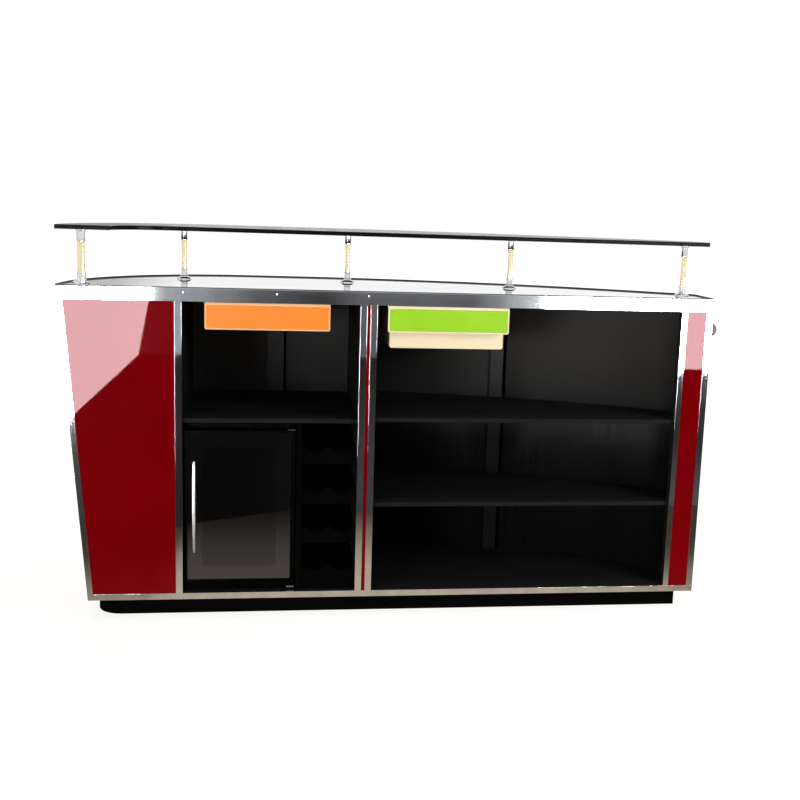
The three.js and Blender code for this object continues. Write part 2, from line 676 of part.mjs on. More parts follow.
// Drawers: a tray with a face frame, a coloured insert set into the face, and a runner channel above.
// The tray may start some way behind the face; a flange then joins the two.
function drawer(name, x0, x1, length, setback, floorZ, colour) {
  const faceBack = DRAWER_FACE_Y + DRAWER_FACE_T;
  const trayY = faceBack + setback;
  const endY = faceBack + length;
  const tx0 = x0 + TRAY_SIDE_INSET;
  const tx1 = x1 - TRAY_SIDE_INSET;
  const joinY = faceBack - OVERRUN;
  const face = roundedOutline(x0, x1, DRAWER_FACE_Z0, DRAWER_FACE_Z1, DRAWER_CORNER_R, DRAWER_CORNER_R);
  const tray = roundedOutline(tx0, tx1, floorZ, TRAY_TOP_Z, TRAY_CORNER_R, OVERRUN);
  const body = join(
    alongY(face, DRAWER_FACE_Y, faceBack),
    alongY(tray, trayY - OVERRUN, endY),
    box(tx0 - TRAY_LIP_W, tx1 + TRAY_LIP_W, joinY, endY, TRAY_LIP_Z, TRAY_LIP_Z + TRAY_LIP_T),
  );
  const insertOutline = (gap) => roundedOutline(
    x0 + DRAWER_RIM + gap,
    x1 - DRAWER_RIM - gap,
    DRAWER_FACE_Z0 + DRAWER_RIM + gap,
    DRAWER_FACE_Z1 - DRAWER_TOP_RIM - gap,
    INSERT_CORNER_R,
    INSERT_CORNER_R,
  );
  const insertBack = DRAWER_FACE_Y + INSERT_T;
  const recess = alongY(insertOutline(0), DRAWER_FACE_Y - OVERRUN, insertBack);
  const hollow = box(
    tx0 + TRAY_WALL,
    tx1 - TRAY_WALL,
    trayY + TRAY_WALL,
    endY - TRAY_WALL,
    floorZ + TRAY_WALL,
    TRAY_TOP_Z + OVERRUN,
  );
  addPiece(`${name}_tray`, carve(body, recess, hollow), CREAM);
  addPiece(`${name}_insert`, alongY(insertOutline(LAYER_GAP), DRAWER_FACE_Y, insertBack), colour);

  const lipX0 = tx0 - TRAY_LIP_W - RUNNER_GAP;
  const lipX1 = tx1 + TRAY_LIP_W + RUNNER_GAP;
  const hookZ = TRAY_LIP_Z;
  const plateZ = UNDER_Z - RUNNER_T;
  const channel = alongY([
    [lipX0 - RUNNER_T, UNDER_Z],
    [lipX0 - RUNNER_T, hookZ - RUNNER_LIP_T],
    [lipX0 + RUNNER_LIP_W, hookZ - RUNNER_LIP_T],
    [lipX0 + RUNNER_LIP_W, hookZ],
    [lipX0, hookZ],
    [lipX0, plateZ],
    [lipX1, plateZ],
    [lipX1, hookZ],
    [lipX1 - RUNNER_LIP_W, hookZ],
    [lipX1 - RUNNER_LIP_W, hookZ - RUNNER_LIP_T],
    [lipX1 + RUNNER_T, hookZ - RUNNER_LIP_T],
    [lipX1 + RUNNER_T, UNDER_Z],
  ], faceBack + RUNNER_GAP, endY);
  addPiece(`${name}_runner`, channel, STEEL);
}
const ORANGE_X0 = BAY_LEFT_X0 + ORANGE_BAY_GAP;
const ORANGE_X1 = ORANGE_X0 + ORANGE_W;
const ORANGE_FLOOR_Z = UNDER_Z - ORANGE_TRAY_DROP;
drawer('drawer_orange', ORANGE_X0, ORANGE_X1, ORANGE_LENGTH, ORANGE_TRAY_SETBACK, ORANGE_FLOOR_Z, ORANGE);
const GREEN_X0 = BAY_RIGHT_X0 + GREEN_BAY_GAP;
const GREEN_X1 = GREEN_X0 + GREEN_W;
const GREEN_FLOOR_Z = UNDER_Z - GREEN_TRAY_DROP;
drawer('drawer_green', GREEN_X0, GREEN_X1, GREEN_LENGTH, GREEN_TRAY_SETBACK, GREEN_FLOOR_Z, GREEN);

// Wine cooler.
const cabinet = join(
  box(COOLER_X0, COOLER_X1, COOLER_FRONT_Y, COOLER_BACK_Y, FLOOR_Z + COOLER_FOOT_H, COOLER_TOP_Z),
  box(
    COOLER_X0 + COOLER_WALL,
    COOLER_X1 - COOLER_WALL,
    COOLER_FRONT_Y + COOLER_WALL,
    COOLER_BACK_Y - COOLER_WALL,
    FLOOR_Z,
    FLOOR_Z + COOLER_FOOT_H + OVERRUN,
  ),
);
const cavity = box(
  COOLER_X0 + COOLER_WALL,
  COOLER_X1 - COOLER_WALL,
  COOLER_FRONT_Y - OVERRUN,
  COOLER_BACK_Y - COOLER_WALL,
  COOLER_SILL_Z,
  COOLER_HEAD_Z,
);
addPiece('cooler_cabinet', carve(cabinet, cavity), COOLER_BLACK);

const paneX0 = COOLER_X0 + DOOR_LATCH_STILE_W;
const paneX1 = COOLER_X1 - DOOR_HINGE_STILE_W;
const paneZ0 = DOOR_Z0 + DOOR_SILL_H;
const paneZ1 = DOOR_Z1 - DOOR_HEAD_H;
function pinAt(r, z0, z1) {
  return turned([[0, z0], [r, z0], [r, z1], [0, z1]], HINGE_X, HINGE_Y, HINGE_SEGMENTS);
}
const doorFrame = carve(
  box(COOLER_X0, COOLER_X1, DOOR_Y0, DOOR_Y1, DOOR_Z0, DOOR_Z1),
  box(paneX0, paneX1, DOOR_Y0 - OVERRUN, DOOR_Y1 + OVERRUN, paneZ0, paneZ1),
  pinAt(HINGE_HOLE_R, DOOR_Z1 - HINGE_PIN_L - HINGE_SPACE, DOOR_Z1 + OVERRUN),
  pinAt(HINGE_HOLE_R, DOOR_Z0 - OVERRUN, DOOR_Z0 + HINGE_PIN_L + HINGE_SPACE),
);
addPiece('cooler_door_frame', doorFrame, COOLER_BLACK);
const pane = box(paneX0, paneX1, PANE_Y0, PANE_Y0 + PANE_T, paneZ0, paneZ1);
addPiece('cooler_door_pane', pane, MIRROR_GLASS);

function hinge(plateZ0, pinZ0, pinZ1) {
  const x1 = COOLER_X1;
  return join(
    box(x1 - HINGE_PLATE_W, x1, DOOR_Y0, COOLER_FRONT_Y, plateZ0, plateZ0 + HINGE_PLATE_T),
    pinAt(HINGE_PIN_R, pinZ0, pinZ1),
  );
}
const hingeHighZ = DOOR_Z1 + HINGE_SPACE;
const hingeLowZ = DOOR_Z0 - HINGE_SPACE - HINGE_PLATE_T;
addPiece('cooler_hinge_high', hinge(hingeHighZ, DOOR_Z1 - HINGE_PIN_L, hingeHighZ + OVERRUN), STEEL);
const hingeLowPinZ = DOOR_Z0 - HINGE_SPACE - OVERRUN;
addPiece('cooler_hinge_low', hinge(hingeLowZ, hingeLowPinZ, DOOR_Z0 + HINGE_PIN_L), STEEL);

// Bowed handle on the pane.
function handleOutline() {
  const bow = (t, depth) => PANE_Y0 - depth * Math.sin(Math.PI * t);
  const span = HANDLE_Z1 - HANDLE_Z0;
  const inner0 = HANDLE_Z0 + HANDLE_FOOT;
  const innerSpan = span - 2 * HANDLE_FOOT;
  const outer = [];
  const inner = [];
  for (let i = 0; i <= HANDLE_STEPS; i += 1) {
    const t = i / HANDLE_STEPS;
    outer.push([bow(t, HANDLE_BOW), HANDLE_Z0 + span * t]);
    inner.push([bow(t, HANDLE_BOW - HANDLE_T), inner0 + innerSpan * t]);
  }
  return [...inner, ...outer.reverse()];
}
addPiece('cooler_handle', alongX(handleOutline(), HANDLE_X, HANDLE_X + HANDLE_W), SILVER);

// Wire shelf inside the cooler: two cross bars and a row of long bars.
function wireShelf() {
  const x0 = COOLER_X0 + COOLER_WALL;
  const x1 = COOLER_X1 - COOLER_WALL;
  const bars = [
    box(x0, x1, RACK_Y0, RACK_Y0 + RACK_BAR, RACK_Z, RACK_Z + RACK_BAR),
    box(x0, x1, RACK_Y1 - RACK_BAR, RACK_Y1, RACK_Z, RACK_Z + RACK_BAR),
  ];
  const pitch = (x1 - x0) / RACK_BARS;
  for (let i = 0; i < RACK_BARS; i += 1) {
    const x = x0 + pitch * (i + 0.5) - RACK_BAR / 2;
    bars.push(box(x, x + RACK_BAR, RACK_Y0, RACK_Y1, RACK_Z, RACK_Z + RACK_BAR));
  }
  return join(...bars);
}
addPiece('cooler_wire_shelf', wireShelf(), SILVER);

// Bottle opener: a plate with a half-round hood that is open below.
const hoodX = END_FACE_X + OPENER_PLATE_T;
const openerY1 = OPENER_Y0 + OPENER_W;
const openerProfile = [
  [END_FACE_X, OPENER_Z0],
  ...arcPoints(hoodX, HOOD_Z, HOOD_R, -90, 90, HOOD_STEPS),
  [hoodX, OPENER_Z1],
  [END_FACE_X, OPENER_Z1],
];
const mouth = box(
  hoodX,
  hoodX + HOOD_R - HOOD_WALL,
  OPENER_Y0 + HOOD_WALL,
  openerY1 - HOOD_WALL,
  OPENER_Z0 - OVERRUN,
  HOOD_Z,
);
addPiece('bottle_opener', carve(alongY(openerProfile, OPENER_Y0, openerY1), mouth), CAST_GREY);

export default assembly;
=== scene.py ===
import math

import bmesh
import bpy
from mathutils import Matrix, Vector


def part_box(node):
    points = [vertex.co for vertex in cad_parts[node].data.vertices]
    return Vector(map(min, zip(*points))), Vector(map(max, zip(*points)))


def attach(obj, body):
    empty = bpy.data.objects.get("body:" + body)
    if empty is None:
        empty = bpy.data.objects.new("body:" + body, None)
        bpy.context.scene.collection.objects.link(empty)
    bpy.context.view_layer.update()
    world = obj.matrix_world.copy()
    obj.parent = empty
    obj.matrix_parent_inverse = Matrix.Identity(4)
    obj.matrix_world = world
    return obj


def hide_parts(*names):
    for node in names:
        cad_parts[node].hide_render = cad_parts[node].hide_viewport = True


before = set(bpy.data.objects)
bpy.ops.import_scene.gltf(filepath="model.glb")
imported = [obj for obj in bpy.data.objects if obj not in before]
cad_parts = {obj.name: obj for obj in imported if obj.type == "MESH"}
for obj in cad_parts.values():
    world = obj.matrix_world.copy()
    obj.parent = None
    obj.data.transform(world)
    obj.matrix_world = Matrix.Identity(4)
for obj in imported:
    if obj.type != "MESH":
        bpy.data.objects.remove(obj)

for default_name in ("Cube", "Light", "Camera"):
    default_object = bpy.data.objects.get(default_name)
    if default_object:
        bpy.data.objects.remove(default_object)
bpy.context.view_layer.update()

# Plan of the counter in metres, as the solids have it.
LEFT_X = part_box("band_front")[0].x
RIGHT_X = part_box("band_front")[1].x
REAR_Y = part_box("band_rear")[0].y
FRAME_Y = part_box("floor_panel")[0].y
FAR_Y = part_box("band_front")[1].y
END_FACE_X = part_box("skin_end_right")[1].x
SEAM_LEFT_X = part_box("shell_middle")[0].x
SEAM_RIGHT_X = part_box("shell_middle")[1].x
FLOOR_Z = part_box("floor_panel")[1].z
PLINTH_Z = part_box("plinth")[1].z
UNDER_Z, TOP_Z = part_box("worktop")[0].z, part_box("worktop")[1].z
GLASS_Z0, GLASS_Z1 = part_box("raised_shelf")[0].z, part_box("raised_shelf")[1].z
END_CENTRE_X = -0.452
ARC_RADIUS = 2.220
LEFT_LEAN = 0.067
BAND_T = 0.002
SKIN_INSET = 0.008
SKIN_BACK_INSET = 0.012
LINER_INSET = 0.0273
RAIL_INSET = 0.006
END_STEPS = 40
FLAT_STEPS = 2
ARC_STEPS_MID = 24
ARC_STEPS_RIGHT = 20
SEAM_LEFT_POINT = END_STEPS + FLAT_STEPS
SEAM_RIGHT_POINT = SEAM_LEFT_POINT + ARC_STEPS_MID
LAST_POINT = SEAM_RIGHT_POINT + ARC_STEPS_RIGHT

# Shader helpers.
NOISE_LOW, NOISE_HIGH = 0.3, 0.7
EDGE_START, EDGE_END = 0.02, 0.25
EDGE_SAMPLES = 4


def new_material(name):
    mat = bpy.data.materials.new(name)
    mat.use_nodes = True
    return mat, mat.node_tree, mat.node_tree.nodes["Principled BSDF"]


def scaled(tone, factor):
    return tuple(factor * part for part in tone)


def object_coords(tree, scale=(1, 1, 1)):
    coords = tree.nodes.new("ShaderNodeTexCoord")
    mapping = tree.nodes.new("ShaderNodeMapping")
    mapping.inputs["Scale"].default_value = scale
    tree.links.new(coords.outputs["Object"], mapping.inputs["Vector"])
    return mapping.outputs["Vector"]


def axis_value(tree, axis):
    """Place of the shaded point along one axis."""
    split = tree.nodes.new("ShaderNodeSeparateXYZ")
    tree.links.new(object_coords(tree), split.inputs[0])
    return split.outputs[axis]


def noise(tree, scale, detail=4.0, stretch=(1, 1, 1), rough=0.55, distortion=0.0):
    node = tree.nodes.new("ShaderNodeTexNoise")
    node.inputs["Scale"].default_value = scale
    node.inputs["Detail"].default_value = detail
    node.inputs["Roughness"].default_value = rough
    node.inputs["Distortion"].default_value = distortion
    tree.links.new(object_coords(tree, stretch), node.inputs["Vector"])
    return node.outputs["Fac"]


def remap(tree, value, low, high, start=NOISE_LOW, end=NOISE_HIGH, shape="LINEAR"):
    node = tree.nodes.new("ShaderNodeMapRange")
    node.interpolation_type = shape
    node.inputs["From Min"].default_value = start
    node.inputs["From Max"].default_value = end
    node.inputs["To Min"].default_value = low
    node.inputs["To Max"].default_value = high
    tree.links.new(value, node.inputs["Value"])
    return node.outputs["Result"]


def blend_colours(tree, factor, first, second):
    node = tree.nodes.new("ShaderNodeMix")
    node.data_type = "RGBA"
    for socket, value in ((node.inputs[6], first), (node.inputs[7], second)):
        if isinstance(value, tuple):
            socket.default_value = (*value, 1)
        else:
            tree.links.new(value, socket)
    tree.links.new(factor, node.inputs[0])
    return node.outputs[2]


def edge_mask(tree, radius):
    """Nought on flat faces, rising to one on edges."""
    bevel = tree.nodes.new("ShaderNodeBevel")
    bevel.samples = EDGE_SAMPLES
    bevel.inputs["Radius"].default_value = radius
    geometry = tree.nodes.new("ShaderNodeNewGeometry")
    dot = tree.nodes.new("ShaderNodeVectorMath")
    dot.operation = "DOT_PRODUCT"
    tree.links.new(bevel.outputs["Normal"], dot.inputs[0])
    tree.links.new(geometry.outputs["Normal"], dot.inputs[1])
    return remap(tree, dot.outputs["Value"], 1.0, 0.0, 1.0 - EDGE_END, 1.0 - EDGE_START)


def calculate(tree, operation, first, second):
    node = tree.nodes.new("ShaderNodeMath")
    node.operation = operation
    tree.links.new(first, node.inputs[0])
    tree.links.new(second, node.inputs[1])
    return node.outputs[0]


def multiply(tree, first, second):
    return calculate(tree, "MULTIPLY", first, second)


def mix_shaders(tree, amount, first, second):
    node = tree.nodes.new("ShaderNodeMixShader")
    tree.links.new(amount, node.inputs[0])
    tree.links.new(first.outputs[0], node.inputs[1])
    tree.links.new(second.outputs[0], node.inputs[2])
    return node


def set_surface(tree, node):
    tree.links.new(node.outputs[0], tree.nodes["Material Output"].inputs["Surface"])


def add_bump(tree, shader, height, strength, distance):
    node = tree.nodes.new("ShaderNodeBump")
    node.inputs["Strength"].default_value = strength
    node.inputs["Distance"].default_value = distance
    tree.links.new(height, node.inputs["Height"])
    tree.links.new(node.outputs["Normal"], shader.inputs["Normal"])


# Looks. A stretch below one draws the noise out along that axis.
RED_TONES = ((0.124, 0.0002, 0.0016), (0.160, 0.0003, 0.0025))
RED_SPECULAR = 0.12
RED_SPECULAR_TINT = (1.0, 0.66, 0.70, 1)
METAL_TONE = (0.66, 0.655, 0.65)
METAL_DULL = 0.74
LINE_STRETCH = 0.02
GRAIN_STRETCH = 0.06
BOARD_DARK = (0.009, 0.009, 0.009)
BOARD_MID = (0.022, 0.0215, 0.021)
BOARD_LIGHT = (0.028, 0.0275, 0.027)
BOARD_BARE = (0.05, 0.049, 0.047)
BOARD_RUB_R = 0.002
# Painted light on boards: between these heights the tone turns paler upwards, up to this share, for
# light falling on the upper bays.
PAINTED_LIGHT_Z = (0.45, 0.85)
PAINTED_LIGHT_MOST = 0.9
PALE_TONES = ((0.74, 0.74, 0.74), (0.82, 0.82, 0.815))
FLECK_TONE = (0.50, 0.50, 0.505)
WIPED_GAIN = 1.8
SCUFF_R = 0.0015
SCUFF_GAIN, SCUFF_LIFT, SCUFF_MOST = 1.25, 0.002, 0.9
CAST_TONES = ((0.035, 0.036, 0.038), (0.065, 0.066, 0.068))
CAST_WORN = (0.20, 0.20, 0.20)
CAST_WEAR_R = 0.002


def gloss_red():
    mat, tree, shader = new_material("gloss_red")
    cloud = remap(tree, noise(tree, scale=3.0, detail=3.0), 0, 1)
    tree.links.new(blend_colours(tree, cloud, *RED_TONES), shader.inputs["Base Color"])
    sheen = remap(tree, noise(tree, scale=14.0, detail=6.0), 0.008, 0.022)
    tree.links.new(sheen, shader.inputs["Roughness"])
    shader.inputs["Specular IOR Level"].default_value = RED_SPECULAR
    shader.inputs["Specular Tint"].default_value = RED_SPECULAR_TINT
    add_bump(tree, shader, noise(tree, scale=160.0, detail=2.0), strength=0.004, distance=0.0006)
    return mat


def polished(name, along, tone=METAL_TONE, low=0.028, high=0.055):
    """Polished metal with faint lines along one axis and duller handled patches."""
    mat, tree, shader = new_material(name)
    stretch = tuple(LINE_STRETCH if axis == along else 1.0 for axis in "xyz")
    lines = noise(tree, scale=420.0, detail=3.0, stretch=stretch)
    patches = noise(tree, scale=16.0, detail=7.0, rough=0.65)
    handled = remap(tree, patches, 0, 1, start=0.35, end=0.75)
    tint = blend_colours(tree, handled, tone, scaled(tone, METAL_DULL))
    tree.links.new(tint, shader.inputs["Base Color"])
    shader.inputs["Metallic"].default_value = 1.0
    worn = multiply(tree, remap(tree, lines, 0.6, 1.0), remap(tree, patches, low, high))
    tree.links.new(worn, shader.inputs["Roughness"])
    add_bump(tree, shader, lines, strength=0.005, distance=0.0003)
    return mat


def black_board(name, along, gloss=0.45, paleness=1.0, level=0.01, painted_light_paleness=None):
    """Black stained board: grain along one axis, rubbed edges, and where asked painted light that
    makes it paler towards the top.
    """
    mat, tree, shader = new_material(name)
    stretch = tuple(GRAIN_STRETCH if axis == along else 1.0 for axis in "xyz")
    grain = noise(tree, scale=90.0, detail=8.0, stretch=stretch, rough=0.65, distortion=0.4)
    broad = noise(tree, scale=9.0, detail=3.0, stretch=stretch)
    dark, mid, light, bare = (
        scaled(tone, paleness) for tone in (BOARD_DARK, BOARD_MID, BOARD_LIGHT, BOARD_BARE)
    )
    stain = blend_colours(tree, remap(tree, grain, 0, 1), dark, mid)
    shade = blend_colours(tree, remap(tree, broad, 0, 0.5), stain, light)
    # Painted light: paler towards the top, where more light falls into the bays.
    if painted_light_paleness:
        painted_light_share = remap(tree, axis_value(tree, "Z"), 0.0, PAINTED_LIGHT_MOST, *PAINTED_LIGHT_Z)
        shade = blend_colours(tree, painted_light_share, shade, scaled(BOARD_MID, painted_light_paleness))
    patchy = remap(tree, noise(tree, scale=40.0), 0.1, 0.8)
    rubbed = multiply(tree, edge_mask(tree, BOARD_RUB_R), patchy)
    tree.links.new(blend_colours(tree, rubbed, shade, bare), shader.inputs["Base Color"])
    tree.links.new(remap(tree, grain, gloss - 0.08, gloss + 0.12), shader.inputs["Roughness"])
    shader.inputs["Specular IOR Level"].default_value = level
    add_bump(tree, shader, grain, strength=0.25, distance=0.0008)
    return mat


def pale_top():
    mat, tree, shader = new_material("pale_top")
    veil = remap(tree, noise(tree, scale=2.2, detail=5.0, distortion=0.6), 0, 1)
    fleck = remap(tree, noise(tree, scale=380.0, detail=2.0), 0, 0.35, start=0.55, end=0.75)
    base = blend_colours(tree, veil, *PALE_TONES)
    tree.links.new(blend_colours(tree, fleck, base, FLECK_TONE), shader.inputs["Base Color"])
    sheen = remap(tree, noise(tree, scale=11.0, detail=6.0), 0.04, 0.10)
    tree.links.new(sheen, shader.inputs["Roughness"])
    shader.inputs["Coat Weight"].default_value = 1.0
    shader.inputs["Coat Roughness"].default_value = 0.02
    return mat


def dark_glass(name, tone, low, high, level=0.5, ior=1.5):
    """Dark polished glass with faint wiping marks."""
    mat, tree, shader = new_material(name)
    marks = noise(tree, scale=22.0, detail=7.0, stretch=(1, 0.3, 1), distortion=1.2)
    wiped = remap(tree, marks, 0, 1, start=0.4, end=0.8)
    tint = blend_colours(tree, wiped, tone, scaled(tone, WIPED_GAIN))
    tree.links.new(tint, shader.inputs["Base Color"])
    tree.links.new(remap(tree, marks, low, high), shader.inputs["Roughness"])
    shader.inputs["Specular IOR Level"].default_value = level
    shader.inputs["IOR"].default_value = ior
    return mat


def turned_metal(name, first, second, low, high):
    """Metal with fine rings round a vertical axis."""
    mat, tree, shader = new_material(name)
    rings = noise(tree, scale=700.0, detail=2.0, stretch=(LINE_STRETCH, LINE_STRETCH, 1))
    film = noise(tree, scale=60.0, detail=5.0)
    tint = blend_colours(tree, remap(tree, film, 0, 1), first, second)
    tree.links.new(tint, shader.inputs["Base Color"])
    shader.inputs["Metallic"].default_value = 1.0
    tree.links.new(remap(tree, film, low, high), shader.inputs["Roughness"])
    add_bump(tree, shader, rings, strength=0.002, distance=0.0002)
    return mat


def plastic(name, first, second, low=0.30, high=0.45, grain=0.05, level=0.08):
    """Moulded plastic, slightly cloudy, with scuffed edges and a fine grain."""
    mat, tree, shader = new_material(name)
    cloud = remap(tree, noise(tree, scale=7.0), 0, 1)
    tone = blend_colours(tree, cloud, first, second)
    patchy = remap(tree, noise(tree, scale=60.0), 0.0, 0.5)
    scuffed = multiply(tree, edge_mask(tree, SCUFF_R), patchy)
    paler = tuple(min(SCUFF_MOST, SCUFF_GAIN * part + SCUFF_LIFT) for part in second)
    tree.links.new(blend_colours(tree, scuffed, tone, paler), shader.inputs["Base Color"])
    sheen = remap(tree, noise(tree, scale=30.0, detail=5.0), low, high)
    tree.links.new(sheen, shader.inputs["Roughness"])
    shader.inputs["Specular IOR Level"].default_value = level
    add_bump(tree, shader, noise(tree, scale=900.0, detail=2.0), strength=grain, distance=0.0004)
    return mat


def cast_metal():
    mat, tree, shader = new_material("cast_grey")
    pits = noise(tree, scale=420.0, detail=5.0)
    dark = blend_colours(tree, remap(tree, pits, 0, 1), *CAST_TONES)
    tint = blend_colours(tree, edge_mask(tree, CAST_WEAR_R), dark, CAST_WORN)
    tree.links.new(tint, shader.inputs["Base Color"])
    shader.inputs["Metallic"].default_value = 0.7
    tree.links.new(remap(tree, pits, 0.42, 0.62), shader.inputs["Roughness"])
    add_bump(tree, shader, pits, strength=0.35, distance=0.0008)
    return mat


RED = gloss_red()
METAL_X = polished("polished_lengthwise", "x")
METAL_Z = polished("polished_upright", "z")
BOARD_X = black_board("black_board_lengthwise", "x", gloss=0.42, paleness=0.62)
BOARD_Z = black_board("black_board_upright", "z", paleness=0.50)
# Liner and battens carry painted light that makes them paler higher up.
LINER = black_board("black_liner", "z", paleness=0.34, level=0.015, painted_light_paleness=2.3)
BATTEN = black_board("black_batten", "z", paleness=0.35, level=0.005, painted_light_paleness=2.8)
RACK_BLACK = black_board("rack_black", "y", gloss=0.5, paleness=0.10, level=0.0)
PALE = pale_top()
GLASS = dark_glass("dark_glass", (0.0014, 0.0015, 0.0016), low=0.14, high=0.24, level=0.05)
PANE = dark_glass(
    "mirror_pane", (0.0008, 0.0007, 0.0006), low=0.01, high=0.03, level=0.40, ior=1.8,
)
CHROME = turned_metal("post_chrome", (0.74, 0.74, 0.75), (0.60, 0.60, 0.62), low=0.06, high=0.14)
BRASS = turned_metal("post_brass", (0.74, 0.60, 0.38), (0.68, 0.54, 0.33), low=0.04, high=0.07)
CREAM = plastic("cream_plastic", (0.77, 0.66, 0.46), (0.81, 0.73, 0.53))
# Darker, orange-tinted copy of the cream for the orange drawer's tray: painted shade and painted
# orange bounce light.
CREAM_SHADE_AND_BOUNCE = plastic("cream_plastic_shade_and_bounce", (0.70, 0.41, 0.20), (0.75, 0.47, 0.24))
ORANGE = plastic("orange_plastic", (0.93, 0.220, 0.017), (0.96, 0.248, 0.025))
GREEN = plastic("green_plastic", (0.265, 0.560, 0.008), (0.305, 0.610, 0.014))
COOLER = plastic(
    "cooler_black", (0.0006, 0.0006, 0.0006), (0.0014, 0.0013, 0.0012),
    low=0.24, high=0.36, level=0.01,
)
# Black of the joint strips: painted shade in the gaps at the liner seams.
GAP_SHADE_BLACK = plastic(
    "gap_shade_black", (0.0004, 0.0004, 0.0004), (0.0009, 0.0009, 0.0009),
    low=0.6, high=0.8, level=0.0,
)
PANE_BORDER = dark_glass(
    "pane_border", (0.0010, 0.0009, 0.0008), low=0.01, high=0.03, level=0.54, ior=1.8,
)
RIM_GREY = plastic(
    "rim_grey", (0.045, 0.046, 0.048), (0.075, 0.076, 0.078), low=0.25, high=0.4,
)
RUBBER = plastic(
    "seal_rubber", (0.008, 0.008, 0.008), (0.013, 0.013, 0.013), low=0.6, high=0.75,
)
# The plinth board is much darker than the other black boards: painted shade under the overhang of
# the counter.
PLINTH_SHADED = black_board("plinth_black_painted_shade", "x", gloss=0.6, paleness=0.16, level=0.0)
SCREW = turned_metal("screw_head", (0.90, 0.90, 0.90), (0.78, 0.78, 0.79), low=0.35, high=0.45)
SILVER = polished("satin_silver", "z", (0.30, 0.295, 0.29), low=0.42, high=0.52)
STEEL = polished("runner_steel", "y", (0.42, 0.425, 0.43))
CAST = cast_metal()

# Nodes that keep their solid's shape: look, rounding of the edges in metres, names.
LOOKS = (
    (PLINTH_SHADED, 0.002, "plinth"),
    (BOARD_X, 0.001, "floor_panel"),
    (LINER, 0, "shell_left shell_middle shell_right"),
    (BOARD_Z, 0.0008, "upright_left divider stile_right backing_left end_panel_right"),
    (RED, 0.0006, "skin_end_right panel_rear_left panel_divider panel_rear_right"),
    (METAL_Z, 0.0012, "seam_strip_left seam_strip_right"),
    (METAL_Z, 0.0003, "trim_left_end trim_bay_left trim_divider_left trim_divider_right"),
    (METAL_Z, 0.0003, "trim_bay_right trim_right_end"),
    (METAL_X, 0.0003, "rail_left rail_main"),
    (METAL_X, 0.0007, "band_rear"),
    (BOARD_X, 0.0012, "shelf_left shelf_right_high shelf_right_middle"),
    (RACK_BLACK, 0.001, "rack_partition"),
    (RACK_BLACK, 0.0012, "rack_bed_1 rack_bed_2 rack_bed_3 rack_bed_4"),
    (CREAM_SHADE_AND_BOUNCE, 0.0012, "drawer_orange_tray"),
    (CREAM, 0.0012, "drawer_green_tray"),
    (ORANGE, 0.0008, "drawer_orange_insert"),
    (GREEN, 0.0008, "drawer_green_insert"),
    (STEEL, 0.0004, "drawer_orange_runner drawer_green_runner"),
    (COOLER, 0.003, "cooler_cabinet"),
    (COOLER, 0.002, "cooler_door_frame"),
    (PANE, 0.001, "cooler_door_pane"),
    (STEEL, 0.0005, "cooler_hinge_high cooler_hinge_low"),
    (SILVER, 0.001, "cooler_wire_shelf"),
    (CAST, 0.0015, "bottle_opener"),
)
MERGE_DISTANCE = 1e-5
FLAT_ANGLE = math.radians(0.4)
BEVEL_ANGLE = math.radians(32)
BEVEL_SEGMENTS = 2


def soften(obj, width, merge=False):
    """Smooth shading with rounded edges; split corners are merged first where asked."""
    for name in ("custom_normal", "sharp_face", "sharp_edge"):
        attribute = obj.data.attributes.get(name)
        if attribute:
            obj.data.attributes.remove(attribute)
    if merge:
        obj.modifiers.new("weld", "WELD").merge_threshold = MERGE_DISTANCE
        flat = obj.modifiers.new("flat", "DECIMATE")
        flat.decimate_type = "DISSOLVE"
        flat.angle_limit = FLAT_ANGLE
    if width:
        bevel = obj.modifiers.new("bevel", "BEVEL")
        bevel.width = width
        bevel.segments = BEVEL_SEGMENTS
        bevel.limit_method = "ANGLE"
        bevel.angle_limit = BEVEL_ANGLE
        bevel.harden_normals = True
    obj.data.shade_smooth()


for look, round_off, node_names in LOOKS:
    for node_name in node_names.split():
        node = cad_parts[node_name]
        node.data.materials.clear()
        node.data.materials.append(look)
        soften(node, round_off, merge=True)


def add_piece(name, verts, faces, look, body="counter", width=0.0, stands_for=()):
    mesh = bpy.data.meshes.new(name)
    mesh.from_pydata([tuple(v) for v in verts], [], faces)
    mesh.validate()
    work = bmesh.new()
    work.from_mesh(mesh)
    bmesh.ops.recalc_face_normals(work, faces=work.faces)
    work.to_mesh(mesh)
    work.free()
    obj = bpy.data.objects.new(name, mesh)
    bpy.context.scene.collection.objects.link(obj)
    mesh.materials.append(look)
    soften(obj, width)
    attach(obj, body)
    if stands_for:
        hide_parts(*stands_for)
    return obj


def arc_y(x, radius, inset):
    """Depth of the customer curve at a place along the counter."""
    r = radius - inset
    return FAR_Y - radius + math.sqrt(r * r - (x - SEAM_LEFT_X) ** 2)


def spaced(start, end, steps, count):
    return [start + (end - start) * i / steps for i in range(count)]


def customer_edge(inset, z, end_x, inset_left=None, radius=ARC_RADIUS):
    """Points from the rear left corner round to end_x, inset from the worktop edge, at a height."""
    inset_left = inset if inset_left is None else inset_left
    shift = LEFT_LEAN * (UNDER_Z - z) / (UNDER_Z - PLINTH_Z) if z < UNDER_Z else 0.0
    start = END_CENTRE_X + shift
    reach_x = END_CENTRE_X - LEFT_X - inset_left
    reach_y = FAR_Y - inset - FRAME_Y
    points = []
    for i in range(END_STEPS):
        turn = math.pi / 2 * i / END_STEPS
        points.append((start - reach_x * math.cos(turn), FRAME_Y + reach_y * math.sin(turn)))
    points += [(x, FRAME_Y + reach_y) for x in spaced(start, SEAM_LEFT_X, FLAT_STEPS, FLAT_STEPS)]
    stations = spaced(SEAM_LEFT_X, SEAM_RIGHT_X, ARC_STEPS_MID, ARC_STEPS_MID)
    stations += spaced(SEAM_RIGHT_X, end_x, ARC_STEPS_RIGHT, ARC_STEPS_RIGHT + 1)
    return points + [(x, arc_y(x, radius, inset)) for x in stations]


